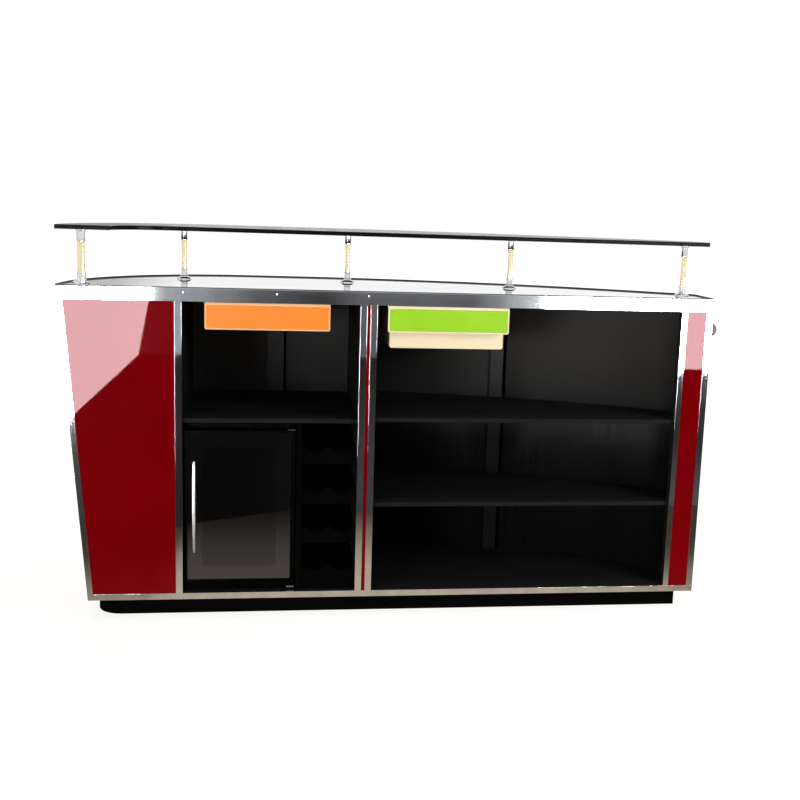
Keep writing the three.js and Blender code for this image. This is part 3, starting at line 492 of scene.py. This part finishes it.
def wall(outer_low, inner_low, outer_high, inner_high, z0, z1):
    """Vertices and quads of a curved wall given by its four edge lines."""
    count = len(outer_low)
    verts = [(x, y, z0) for x, y in outer_low] + [(x, y, z0) for x, y in inner_low]
    verts += [(x, y, z1) for x, y in outer_high] + [(x, y, z1) for x, y in inner_high]
    a, b, c, d = 0, count, 2 * count, 3 * count
    faces = []
    for i in range(count - 1):
        faces.append((a + i, a + i + 1, c + i + 1, c + i))
        faces.append((b + i, d + i, d + i + 1, b + i + 1))
        faces.append((c + i, c + i + 1, d + i + 1, d + i))
        faces.append((a + i, b + i, b + i + 1, a + i + 1))
    for i in (0, count - 1):
        faces.append((a + i, c + i, d + i, b + i))
    return verts, faces


def curved_wall(name, outer, inner, first, last, z0, z1, look, width, stands_for):
    lines = [
        customer_edge(inset, z, END_FACE_X)[first:last + 1]
        for z in (z0, z1) for inset in (outer, inner)
    ]
    verts, faces = wall(*lines, z0, z1)
    return add_piece(name, verts, faces, look, width=width, stands_for=stands_for)


# Red skins in three lengths and the bottom rail under them.
SKIN_ROUND = 0.0006
RAIL_ROUND = 0.0014
SPANS = (
    ("left", 0, SEAM_LEFT_POINT),
    ("middle", SEAM_LEFT_POINT, SEAM_RIGHT_POINT),
    ("right", SEAM_RIGHT_POINT, LAST_POINT),
)
for side, first, last in SPANS:
    curved_wall(
        f"red_skin_{side}", SKIN_INSET, SKIN_BACK_INSET, first, last, FLOOR_Z, UNDER_Z,
        RED, SKIN_ROUND, (f"skin_{side}",),
    )
curved_wall(
    "curved_rail", RAIL_INSET, SKIN_BACK_INSET, 0, LAST_POINT, PLINTH_Z, FLOOR_Z,
    METAL_X, RAIL_ROUND, ("rail_front",),
)


def flat_slab(name, outline, z0, z1, look, width, stands_for):
    count = len(outline)
    verts = [(x, y, z0) for x, y in outline] + [(x, y, z1) for x, y in outline]
    faces = [tuple(range(count)), tuple(range(count, 2 * count))]
    faces += [(i, (i + 1) % count, (i + 1) % count + count, i + count) for i in range(count)]
    return add_piece(name, verts, faces, look, width=width, stands_for=stands_for)


def worktop_line(inset):
    line = customer_edge(inset, UNDER_Z, RIGHT_X - inset)
    inner_y = REAR_Y + BAND_T
    return [(line[0][0], inner_y), *line, (RIGHT_X - inset, inner_y)]


def edge_strip(name, inset, width, z0, z1, look, round_off, stands_for=()):
    """Thin wall that follows the worktop's edge."""
    outer, inner = worktop_line(inset), worktop_line(inset + width)
    verts, faces = wall(outer, inner, outer, inner, z0, z1)
    add_piece(name, verts, faces, look, width=round_off, stands_for=stands_for)


# Worktop with its edge band and the dark bead along the customer edge.
TOP_ROUND = 0.0006
BEAD_SINK = 0.001
BEAD_W = 0.004
BEAD_H = 0.0036
BEAD_ROUND = 0.0005
flat_slab(
    "worktop_board", worktop_line(BAND_T), UNDER_Z, TOP_Z,
    PALE, TOP_ROUND, ("worktop",),
)
edge_strip(
    "curved_band", 0.0, BAND_T, UNDER_Z, TOP_Z,
    METAL_X, TOP_ROUND, ("band_front",),
)
edge_strip(
    "worktop_bead", BAND_T, BEAD_W, TOP_Z - BEAD_SINK, TOP_Z + BEAD_H,
    RIM_GREY, BEAD_ROUND,
)

BOX_FACES = (
    (0, 1, 2, 3), (4, 5, 6, 7), (0, 1, 5, 4), (1, 2, 6, 5), (2, 3, 7, 6), (3, 0, 4, 7),
)


def block(name, corners, z0, z1, look, width):
    """Upright block over four corners of the plan."""
    verts = [(x, y, z) for z in (z0, z1) for x, y in corners]
    add_piece(name, verts, BOX_FACES, look, width=width)


def straight_bar(name, x0, x1, y0, y1, z0, z1, look, width):
    block(name, ((x0, y0), (x1, y0), (x1, y1), (x0, y1)), z0, z1, look, width)


# Thin dark bead along the rear edge of the worktop.
REAR_BEAD_W = 0.0024
REAR_BEAD_H = 0.0026
REAR_BEAD_ROUND = 0.0003
REAR_BEAD_Y = REAR_Y + BAND_T
straight_bar(
    "worktop_rear_bead", LEFT_X + BAND_T, RIGHT_X - BAND_T,
    REAR_BEAD_Y, REAR_BEAD_Y + REAR_BEAD_W, TOP_Z - BEAD_SINK, TOP_Z + REAR_BEAD_H,
    RIM_GREY, REAR_BEAD_ROUND,
)

# Trims on the right end: one up the edge of the curved board, one along the floor panel.
END_TRIM_T = 0.002
END_TRIM_LAP = 0.008
END_TRIM_ROUND = 0.0006
end_skin_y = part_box("skin_end_right")[1].y
end_corner_y = customer_edge(SKIN_INSET, UNDER_Z, END_FACE_X)[-1][1]
straight_bar(
    "corner_trim_right", END_FACE_X, END_FACE_X + END_TRIM_T,
    end_skin_y - END_TRIM_LAP, end_corner_y, FLOOR_Z, UNDER_Z,
    METAL_Z, END_TRIM_ROUND,
)
straight_bar(
    "end_rail_right", END_FACE_X, END_FACE_X + END_TRIM_T,
    FRAME_Y, end_corner_y, PLINTH_Z, FLOOR_Z,
    METAL_X, END_TRIM_ROUND,
)

# Raised shelf.
GLASS_LEFT_INSET = 0.003
GLASS_FAR_INSET = 0.048
GLASS_ARC_RADIUS = 2.7
GLASS_RETURN_W = 0.146
GLASS_INNER_R = 0.130
GLASS_INNER_STEPS = 32
GLASS_INNER_RIGHT = 0.085
GLASS_CORNER_R = 0.004
GLASS_CORNER_STEPS = 8
GLASS_ROUND = 0.0018
GLASS_RIGHT_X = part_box("raised_shelf")[1].x
GLASS_REAR_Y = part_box("raised_shelf")[0].y


def arc(cx, cy, r, start, end, steps):
    turns = [math.radians(start + (end - start) * i / steps) for i in range(steps + 1)]
    return [(cx + r * math.cos(t), cy + r * math.sin(t)) for t in turns]


def shelf_outline():
    left = LEFT_X + GLASS_LEFT_INSET
    inner_x = left + GLASS_RETURN_W + GLASS_INNER_R
    corner = arc(inner_x, GLASS_REAR_Y, GLASS_INNER_R, 180, 90, GLASS_INNER_STEPS)
    far = customer_edge(
        GLASS_FAR_INSET, UNDER_Z, GLASS_RIGHT_X, GLASS_LEFT_INSET, GLASS_ARC_RADIUS,
    )
    tip_x = GLASS_RIGHT_X - GLASS_CORNER_R
    tip_y = REAR_Y + GLASS_INNER_RIGHT + GLASS_CORNER_R
    tip = arc(tip_x, tip_y, GLASS_CORNER_R, -90, 0, GLASS_CORNER_STEPS)
    return [(left, GLASS_REAR_Y), *corner, *tip, *reversed(far)]


flat_slab(
    "glass_shelf", shelf_outline(), GLASS_Z0, GLASS_Z1,
    GLASS, GLASS_ROUND, ("raised_shelf",),
)

# Turned pieces.
LATHE_SEGMENTS = 48
LATHE_SHARP_ANGLE = math.radians(35)
DOME_STEPS = 8


def lathe(name, profile, centre, look, stands_for=(), segments=LATHE_SEGMENTS, axis="z"):
    """Turned piece; the profile of (radius, height) starts and ends on the axis."""
    verts, faces = [], []
    inner = profile[1:-1]
    for r, h in inner:
        for k in range(segments):
            turn = 2 * math.pi * k / segments
            verts.append(Vector((r * math.cos(turn), r * math.sin(turn), h)))
    for i in range(len(inner) - 1):
        ring, above = i * segments, (i + 1) * segments
        for k in range(segments):
            n = (k + 1) % segments
            faces.append((ring + k, ring + n, above + n, above + k))
    low, high = len(verts), len(verts) + 1
    verts += [Vector((0, 0, profile[0][1])), Vector((0, 0, profile[-1][1]))]
    top = (len(inner) - 1) * segments
    for k in range(segments):
        n = (k + 1) % segments
        faces.append((low, n, k))
        faces.append((high, top + k, top + n))
    turn_to = Matrix.Rotation(math.pi / 2, 3, "X") if axis == "-y" else Matrix.Identity(3)
    placed = [turn_to @ v + Vector(centre) for v in verts]
    obj = add_piece(name, placed, faces, look, stands_for=stands_for)
    obj.data.set_sharp_from_angle(angle=LATHE_SHARP_ANGLE)


def dome(radius, height, top_radius):
    """Quarter-round from the rim of a cup up to its socket."""
    points = []
    for i in range(DOME_STEPS + 1):
        turn = math.pi / 2 * i / DOME_STEPS
        r = top_radius + (radius - top_radius) * math.cos(turn)
        points.append((r, height * math.sin(turn)))
    return points


# Posts: base cup and socket, sleeve, head socket.
POST_NAMES = (
    "post_end_rear", "post_end_front", "post_corner",
    "post_middle_left", "post_middle_right", "post_right",
)
FLANGE_R, FLANGE_H = 0.0215, 0.008
FLANGE_RIM_H = 0.0015
SOCKET_R, SOCKET_H = 0.0105, 0.024
SOCKET_FOOT_R = SOCKET_R + 0.0012
SOCKET_FOOT_H, SOCKET_STEP_H = 0.003, 0.0045
NECK_R = SOCKET_R * 0.94
NECK_RING_R = NECK_R + 0.0008
NECK_DROP, RING_LOW_DROP, RING_HIGH_DROP = 0.004, 0.003, 0.0008
SLEEVE_R = 0.0083
COLLAR_R = 0.0096
COLLAR_RING_R = COLLAR_R + 0.0006
COLLAR_RING_LOW, COLLAR_RING_HIGH, COLLAR_RING_END = 0.001, 0.003, 0.004
HEAD_R, HEAD_H = 0.013, 0.003
HEAD_FLARE_H = 0.002
HEAD_SOCKET_H = 0.030

for post_name in POST_NAMES:
    low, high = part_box(post_name)
    centre = ((low.x + high.x) / 2, (low.y + high.y) / 2, 0)
    base_z, head_z = low.z, high.z - HEAD_H
    cup_z = base_z + FLANGE_H
    socket_z = base_z + FLANGE_H + SOCKET_H
    sleeve_top = head_z - HEAD_SOCKET_H
    cup = dome(FLANGE_R, FLANGE_H - FLANGE_RIM_H, SOCKET_FOOT_R)
    base = [
        (0, base_z), (FLANGE_R, base_z),
        *((r, base_z + FLANGE_RIM_H + h) for r, h in cup),
        (SOCKET_FOOT_R, cup_z + SOCKET_FOOT_H), (SOCKET_R, cup_z + SOCKET_STEP_H),
        (NECK_R, socket_z - NECK_DROP), (NECK_RING_R, socket_z - RING_LOW_DROP),
        (NECK_RING_R, socket_z - RING_HIGH_DROP), (NECK_R, socket_z), (0, socket_z),
    ]
    lathe(f"{post_name}_base", base, centre, CHROME, (post_name,))
    sleeve = [(0, socket_z), (SLEEVE_R, socket_z), (SLEEVE_R, sleeve_top), (0, sleeve_top)]
    lathe(f"{post_name}_sleeve", sleeve, centre, BRASS)
    head = [
        (0, sleeve_top), (COLLAR_R, sleeve_top),
        (COLLAR_RING_R, sleeve_top + COLLAR_RING_LOW),
        (COLLAR_RING_R, sleeve_top + COLLAR_RING_HIGH),
        (COLLAR_R, sleeve_top + COLLAR_RING_END), (COLLAR_R, head_z - HEAD_FLARE_H),
        (HEAD_R, head_z), (HEAD_R, high.z), (0, high.z),
    ]
    lathe(f"{post_name}_head", head, centre, CHROME)

# Screws that hold the rear band.
SCREW_X = (-0.927, -0.603, -0.348, -0.093, 0.898)
SCREW_Z = 0.938
SCREW_R, SCREW_H = 0.0042, 0.0012
SCREW_CROWN_R = 0.0012
SCREW_ROOT = -0.0015
SCREW_PROUD = 0.00005
SCREW_SEGMENTS = 20
for number, x in enumerate(SCREW_X, 1):
    crown = dome(SCREW_R, SCREW_H, SCREW_CROWN_R)
    head = [(0, SCREW_ROOT), (SCREW_R, SCREW_ROOT), (SCREW_R, 0.0), *crown, (0, SCREW_H)]
    place = (x, REAR_Y + SCREW_H - SCREW_PROUD, SCREW_Z)
    lathe(
        f"band_screw_{number}", head, place, SCREW,
        axis="-y", segments=SCREW_SEGMENTS,
    )

# Battens beside the liner seams between the shelves, each with a black strip over the joint that
# paints the shade in its gap.
BATTEN_T = 0.006
JOINT_T = 0.002
STRIP_GAP = 0.001
STRIP_ROUND = 0.0008
LEFT_BATTEN_X = (-0.374, -0.322)
LEFT_JOINT_X = (-0.322, -0.315)
RIGHT_BATTEN_X = (0.3397, 0.379)
RIGHT_JOINT_X = (0.379, 0.3887)


def liner_strip(name, span, thick, z0, z1, look):
    x0, x1 = span
    y0, y1 = (arc_y(max(x, SEAM_LEFT_X), ARC_RADIUS, LINER_INSET) - STRIP_GAP for x in span)
    corners = ((x0, y0 - thick), (x1, y1 - thick), (x1, y1), (x0, y0))
    block(name, corners, z0, z1, look, STRIP_ROUND)


HIGH_SHELF_Z0, HIGH_SHELF_Z1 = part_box("shelf_right_high")[0].z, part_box("shelf_right_high")[1].z
MID_SHELF_Z0, MID_SHELF_Z1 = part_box("shelf_right_middle")[0].z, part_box("shelf_right_middle")[1].z
BATTENS = (
    ("left_bay", LEFT_BATTEN_X, LEFT_JOINT_X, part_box("shelf_left")[1].z, UNDER_Z),
    ("right_low", RIGHT_BATTEN_X, RIGHT_JOINT_X, FLOOR_Z, MID_SHELF_Z0),
    ("right_middle", RIGHT_BATTEN_X, RIGHT_JOINT_X, MID_SHELF_Z1, HIGH_SHELF_Z0),
    ("right_high", RIGHT_BATTEN_X, RIGHT_JOINT_X, HIGH_SHELF_Z1, UNDER_Z),
)
for place, batten_span, joint_span, low_z, high_z in BATTENS:
    liner_strip(f"batten_{place}", batten_span, BATTEN_T, low_z, high_z, BATTEN)
    liner_strip(f"joint_{place}", joint_span, JOINT_T, low_z, high_z, GAP_SHADE_BLACK)

# Cooler handle: a bowed bar of oval section, narrower at its ends.
HANDLE_RINGS = 40
HANDLE_SIDES = 20
HANDLE_HALF_T = 0.0032
HANDLE_END_SHARE = 0.75
BOW_POWER = 0.8
TAPER_POWER = 0.5
OVAL_POWER = 0.6
HANDLE_SHARP_ANGLE = math.radians(50)


def bowed_handle():
    low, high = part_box("cooler_handle")
    half_w = (high.x - low.x) / 2
    mid_x = (low.x + high.x) / 2
    bow = high.y - low.y - 2 * HANDLE_HALF_T
    verts, faces = [], []
    for i in range(HANDLE_RINGS + 1):
        t = i / HANDLE_RINGS
        painted_light_share = math.sin(math.pi * t)
        z = low.z + HANDLE_HALF_T + (high.z - low.z - 2 * HANDLE_HALF_T) * t
        y = high.y - HANDLE_HALF_T - bow * painted_light_share ** BOW_POWER
        taper = HANDLE_END_SHARE + (1 - HANDLE_END_SHARE) * painted_light_share ** TAPER_POWER
        for k in range(HANDLE_SIDES):
            turn = 2 * math.pi * k / HANDLE_SIDES
            side = math.copysign(abs(math.cos(turn)) ** OVAL_POWER, math.cos(turn))
            verts.append((mid_x + half_w * taper * side, y + HANDLE_HALF_T * math.sin(turn), z))
    for i in range(HANDLE_RINGS):
        for k in range(HANDLE_SIDES):
            n = (k + 1) % HANDLE_SIDES
            a, b = i * HANDLE_SIDES, (i + 1) * HANDLE_SIDES
            faces.append((a + k, a + n, b + n, b + k))
    faces.append(tuple(range(HANDLE_SIDES)))
    faces.append(tuple(range(HANDLE_RINGS * HANDLE_SIDES, (HANDLE_RINGS + 1) * HANDLE_SIDES)))
    return verts, faces


handle_verts, handle_faces = bowed_handle()
handle = add_piece(
    "cooler_handle_bar", handle_verts, handle_faces, SILVER,
    body="cooler_door", stands_for=("cooler_handle",),
)
handle.data.set_sharp_from_angle(angle=HANDLE_SHARP_ANGLE)


def door_ring(name, low, high, rim, y0, y1, look, width):
    """Upright rectangular ring that turns with the cooler door."""
    corners = ((low.x, low.z), (high.x, low.z), (high.x, high.z), (low.x, high.z))
    inner = (
        (low.x + rim, low.z + rim), (high.x - rim, low.z + rim),
        (high.x - rim, high.z - rim), (low.x + rim, high.z - rim),
    )
    verts = [(x, y, z) for y in (y0, y1) for ring in (corners, inner) for x, z in ring]
    faces = []
    for i in range(4):
        n = (i + 1) % 4
        faces += [(i, n, 4 + n, 4 + i), (8 + i, 12 + i, 12 + n, 8 + n)]
        faces += [(i, 8 + i, 8 + n, n), (4 + i, 4 + n, 12 + n, 12 + i)]
    add_piece(name, verts, faces, look, body="cooler_door", width=width)


# Door seal between the frame and the cabinet.
SEAL_RIM = 0.011
SEAL_T = 0.0016
SEAL_INSET = Vector((0.002, 0, 0.002))
SEAL_ROUND = 0.0005
door_low, door_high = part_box("cooler_door_frame")
door_ring(
    "cooler_door_seal", door_low + SEAL_INSET, door_high - SEAL_INSET, SEAL_RIM,
    door_high.y, door_high.y + SEAL_T, RUBBER, SEAL_ROUND,
)

# Printed border round the door glass.
PANE_RIM = 0.041
PANE_BORDER_T = 0.0003
PANE_BORDER_ROUND = 0.0001
pane_low, pane_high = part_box("cooler_door_pane")
door_ring(
    "cooler_pane_border", pane_low, pane_high, PANE_RIM,
    pane_low.y - PANE_BORDER_T, pane_low.y, PANE_BORDER, PANE_BORDER_ROUND,
)

# Camera on the operator's side; the focal length and the image centre are in pixels.
FRAME_PX = 800
FOCAL_PX = 1112.3586
CENTRE_PX = 430
CAMERA_AT = Vector((-0.36497, -3.37250, 1.19976))
YAW, PITCH, ROLL = math.radians(8.31527), math.radians(10.01640), math.radians(1.95469)
SENSOR = 36.0


def add_camera():
    ahead = Vector((math.sin(YAW), math.cos(YAW), 0))
    side = Vector((math.cos(YAW), -math.sin(YAW), 0))
    up = Vector((0, 0, 1))
    forward = math.cos(PITCH) * ahead - math.sin(PITCH) * up
    raised = math.cos(PITCH) * up + math.sin(PITCH) * ahead
    right = math.cos(ROLL) * side + math.sin(ROLL) * raised
    top = math.cos(ROLL) * raised - math.sin(ROLL) * side
    data = bpy.data.cameras.new("camera")
    data.sensor_fit = "HORIZONTAL"
    data.sensor_width = SENSOR
    data.lens = SENSOR * FOCAL_PX / FRAME_PX
    data.shift_x = (FRAME_PX / 2 - CENTRE_PX) / FRAME_PX
    camera = bpy.data.objects.new("camera", data)
    bpy.context.scene.collection.objects.link(camera)
    camera.matrix_world = Matrix((
        (right.x, top.x, -forward.x, CAMERA_AT.x),
        (right.y, top.y, -forward.y, CAMERA_AT.y),
        (right.z, top.z, -forward.z, CAMERA_AT.z),
        (0, 0, 0, 1),
    ))
    bpy.context.scene.camera = camera


add_camera()


# Studio: pale floor, dark cloth and cards behind the camera, soft lamps and a white surround.
def stage_sheet(name, corners, mat):
    mesh = bpy.data.meshes.new(name)
    mesh.from_pydata(corners, [], [tuple(range(len(corners)))])
    mesh.materials.append(mat)
    obj = bpy.data.objects.new(name, mesh)
    bpy.context.scene.collection.objects.link(obj)
    return obj


def upright_corners(x_span, y, z_span):
    (x0, x1), (z0, z1) = x_span, z_span
    return [(x0, y, z0), (x1, y, z0), (x1, y, z1), (x0, y, z1)]


def reflected_only(obj):
    """Seen in polished surfaces only; it neither lights the counter nor shades it."""
    obj.visible_camera = False
    obj.visible_diffuse = False
    obj.visible_shadow = False
    obj.visible_transmission = False
    obj.visible_volume_scatter = False


# Floor: white from the camera; in polished surfaces it glows instead of being lit, a painted
# reflection, dim near the counter and white far off.
FLOOR_REACH = 30.0
FLOOR_TONE = (0.86, 0.76, 0.62)
FLOOR_CLOUD = 1.04
FLOOR_ROUGHNESS = 0.9
FLOOR_SPECULAR = 0.1
FLOOR_GLOW = 0.70
FLOOR_WHITE = 1.22
FLOOR_SHADOW_REACH = (1.2, 3.0)
FLOOR_FAR = (6.0, 8.0)
FLOOR_FADE_Y = (-1.45, -0.55)
FLOOR_MIRRORED = (0.07, 0.66)
FLOOR_DIM_SHIFT = 0.5
FLOOR_DIM_LEFT_X = (-0.74, -0.62)
FLOOR_DIM_RIGHT_X = (0.45, 1.0)
FLOOR_MIRROR_TINT = (1.0, 0.86, 0.70)


def floor_material():
    mat, tree, shader = new_material("pale_floor")
    cloud = remap(tree, noise(tree, scale=1.5, detail=3.0), 0, 1)
    tone = blend_colours(tree, cloud, FLOOR_TONE, scaled(FLOOR_TONE, FLOOR_CLOUD))
    tree.links.new(tone, shader.inputs["Base Color"])
    shader.inputs["Roughness"].default_value = FLOOR_ROUGHNESS
    shader.inputs["Specular IOR Level"].default_value = FLOOR_SPECULAR
    glow = tree.nodes.new("ShaderNodeEmission")
    glow.inputs["Color"].default_value = (1, 1, 1, 1)
    glow.inputs["Strength"].default_value = FLOOR_WHITE
    path = tree.nodes.new("ShaderNodeLightPath")
    distance = tree.nodes.new("ShaderNodeVectorMath")
    distance.operation = "LENGTH"
    tree.links.new(object_coords(tree), distance.inputs[0])
    whiter = remap(tree, distance.outputs["Value"], FLOOR_GLOW, 1.0, *FLOOR_SHADOW_REACH)
    amount = multiply(tree, path.outputs["Is Camera Ray"], whiter)
    plain = mix_shaders(tree, amount, shader, glow)
    x, y = axis_value(tree, "X"), axis_value(tree, "Y")
    beside = calculate(
        tree, "ADD",
        remap(tree, x, FLOOR_DIM_SHIFT, 0.0, *FLOOR_DIM_LEFT_X),
        remap(tree, x, 0.0, FLOOR_DIM_SHIFT, *FLOOR_DIM_RIGHT_X),
    )
    nearness = calculate(tree, "SUBTRACT", y, beside)
    # Warm glow seen only in reflections: a painted reflection of the floor, its strength set by
    # place.
    near = tree.nodes.new("ShaderNodeEmission")
    near.inputs["Color"].default_value = (*FLOOR_MIRROR_TINT, 1)
    fade = remap(tree, nearness, *FLOOR_MIRRORED, *FLOOR_FADE_Y, shape="SMOOTHSTEP")
    tree.links.new(fade, near.inputs["Strength"])
    far = remap(tree, distance.outputs["Value"], 0.0, 1.0, *FLOOR_FAR)
    mirrored = mix_shaders(tree, far, near, glow)
    set_surface(tree, mix_shaders(tree, path.outputs["Is Glossy Ray"], plain, mirrored))
    return mat


FLOOR_SIGNS = ((-1, -1), (1, -1), (1, 1), (-1, 1))
floor_corners = [(x * FLOOR_REACH, y * FLOOR_REACH, 0.0) for x, y in FLOOR_SIGNS]
stage_sheet("floor", floor_corners, floor_material())

# Dark cloth on the floor in front of the counter, seen only in polished surfaces as a painted dark
# reflection; its near edge is not quite straight.
CLOTH_Z = 0.004
CLOTH_EDGE = (
    (-1.60, -1.15), (-0.655, -1.155), (-0.284, -1.333), (0.30, -1.42), (4.0, -1.42),
)
CLOTH_FAR_Y = -5.8
CLOTH_LEFT_FADE_X = (-1.10, -0.92)
CLOTH_RIGHT_FADE_X = (-0.45, 0.05)
CLOTH_TONES = ((0.032, 0.032, 0.033), (0.080, 0.080, 0.081))


def cloth_material():
    mat, tree, shader = new_material("dark_cloth")
    x = axis_value(tree, "X")
    # Paler towards both sides, which brightens its reflection there.
    paler = calculate(
        tree, "ADD",
        remap(tree, x, 1.0, 0.0, *CLOTH_LEFT_FADE_X),
        remap(tree, x, 0.0, 1.0, *CLOTH_RIGHT_FADE_X),
    )
    tree.links.new(blend_colours(tree, paler, *CLOTH_TONES), shader.inputs["Base Color"])
    shader.inputs["Roughness"].default_value = 1.0
    shader.inputs["Specular IOR Level"].default_value = 0.0
    return mat


cloth_plan = (*CLOTH_EDGE, (CLOTH_EDGE[-1][0], CLOTH_FAR_Y), (CLOTH_EDGE[0][0], CLOTH_FAR_Y))
cloth_corners = [(x, y, CLOTH_Z) for x, y in cloth_plan]
reflected_only(stage_sheet("dark_cloth", cloth_corners, cloth_material()))

# Two cards left and right of the camera and a dimmer wall between them, all low; they glow though
# they are no lamps and show only as painted reflections in polished surfaces.
CARD_STRENGTH = 66.0
CARD_TONES = ((1.0, 1.0, 1.0), (0.94, 0.94, 0.95))
LEFT_CARD = (
    (-1.349, -5.67, 0.0), (-1.47, -1.70, 0.0), (-1.47, -1.70, 0.80), (-1.244, -5.67, 0.54),
)
RIGHT_CARD_X, RIGHT_CARD_Y, RIGHT_CARD_Z = (1.67, 7.00), -5.30, (0.0, 0.54)
WALL_X, WALL_Y, WALL_Z = (-1.40, 1.75), -5.72, (0, 0.53)
# Glow of the wall along its length, set to paint the reflections seen in the polished surfaces.
WALL_TONES = (
    (-1.40, 1.00), (-1.16, 0.55), (-0.90, 0.46), (-0.63, 0.28), (-0.49, 0.17), (-0.22, 0.11),
    (0.05, 0.06), (0.30, 0.18), (0.85, 0.19), (1.20, 0.17), (1.40, 0.38), (1.75, 1.00),
)
WALL_TINT = (0.92, 0.98, 1.06)


def card_glow_material():
    mat, tree, _ = new_material("glowing_card")
    glow = tree.nodes.new("ShaderNodeEmission")
    cloud = remap(tree, noise(tree, scale=0.8), 0, 1)
    tree.links.new(blend_colours(tree, cloud, *CARD_TONES), glow.inputs["Color"])
    glow.inputs["Strength"].default_value = CARD_STRENGTH
    set_surface(tree, glow)
    return mat


def wall_glow_material():
    mat, tree, _ = new_material("glowing_wall")
    across = remap(tree, axis_value(tree, "X"), 0.0, 1.0, *WALL_X)
    ramp = tree.nodes.new("ShaderNodeValToRGB")
    elements = ramp.color_ramp.elements
    while len(elements) < len(WALL_TONES):
        elements.new(0.5)
    for element, (x, level) in zip(elements, WALL_TONES):
        element.position = (x - WALL_X[0]) / (WALL_X[1] - WALL_X[0])
        element.color = (*scaled(WALL_TINT, level), 1)
    tree.links.new(across, ramp.inputs["Fac"])
    glow = tree.nodes.new("ShaderNodeEmission")
    tree.links.new(ramp.outputs["Color"], glow.inputs["Color"])
    set_surface(tree, glow)
    return mat


GLOWING_CARD = card_glow_material()
right_card = upright_corners(RIGHT_CARD_X, RIGHT_CARD_Y, RIGHT_CARD_Z)
glowing_wall = upright_corners(WALL_X, WALL_Y, WALL_Z)
reflected_only(stage_sheet("left_card", LEFT_CARD, GLOWING_CARD))
reflected_only(stage_sheet("right_card", right_card, GLOWING_CARD))
reflected_only(stage_sheet("glowing_wall", glowing_wall, wall_glow_material()))

# Grey card behind the rounded end that glows and shows only as a painted reflection in the worktop;
# it fades to white towards the middle.
GREY_CARD_X, GREY_CARD_Y, GREY_CARD_Z = (-1.80, -0.72), 1.5, (0.96, 1.30)
GREY_FADE_X = (-1.02, -0.74)
GREY_LEVEL = 0.55


def grey_card_material():
    mat, tree, _ = new_material("grey_card")
    glow = tree.nodes.new("ShaderNodeEmission")
    level = remap(tree, axis_value(tree, "X"), GREY_LEVEL, 1.0, *GREY_FADE_X)
    tree.links.new(level, glow.inputs["Strength"])
    set_surface(tree, glow)
    return mat


grey_card = upright_corners(GREY_CARD_X, GREY_CARD_Y, GREY_CARD_Z)
reflected_only(stage_sheet("grey_card", grey_card, grey_card_material()))

# White surround, dimmer as a light than it looks.
WORLD_SEEN = 1.0
WORLD_LIGHT = 0.24


def seen_directly(tree):
    """One for camera, glossy and transmission rays, nought for the rest."""
    path = tree.nodes.new("ShaderNodeLightPath")
    total = path.outputs["Is Camera Ray"]
    for name in ("Is Glossy Ray", "Is Transmission Ray"):
        total = calculate(tree, "MAXIMUM", total, path.outputs[name])
    return total


def add_world():
    world = bpy.data.worlds.new("studio")
    bpy.context.scene.world = world
    world.use_nodes = True
    tree = world.node_tree
    back = tree.nodes["Background"]
    back.inputs["Color"].default_value = (1, 1, 1, 1)
    strength = remap(tree, seen_directly(tree), WORLD_LIGHT, WORLD_SEEN, 0.0, 1.0)
    tree.links.new(strength, back.inputs["Strength"])


# Lamps: name, place, aim, size in metres, watts.
LAMPS = (
    ("key", (-2.5, -3.7, 0.62), (0.0, -0.2, 0.55), (1.2, 0.8), 90),
    ("fill", (1.75, -1.75, 1.5), (0.8, -0.2, 0.6), (0.8, 0.8), 27),
    ("overhead", (0.0, 0.0, 4.2), (0, 0, 0.9), (4.0, 3.0), 90),
    ("customer_side", (0.0, 3.8, 3.0), (0, 0.1, 0.6), (3.0, 2.0), 60),
)


def add_softbox(name, at, aim, size, power):
    data = bpy.data.lights.new(name, "AREA")
    data.shape = "RECTANGLE"
    data.size, data.size_y = size
    data.energy = power
    lamp = bpy.data.objects.new(name, data)
    lamp.location = at
    lamp.rotation_mode = "QUATERNION"
    lamp.rotation_quaternion = (Vector(aim) - Vector(at)).to_track_quat("-Z", "Y")
    bpy.context.scene.collection.objects.link(lamp)
    lamp.visible_glossy = False


add_world()
for lamp in LAMPS:
    add_softbox(*lamp)

bpy.context.scene.view_settings.view_transform = "Standard"
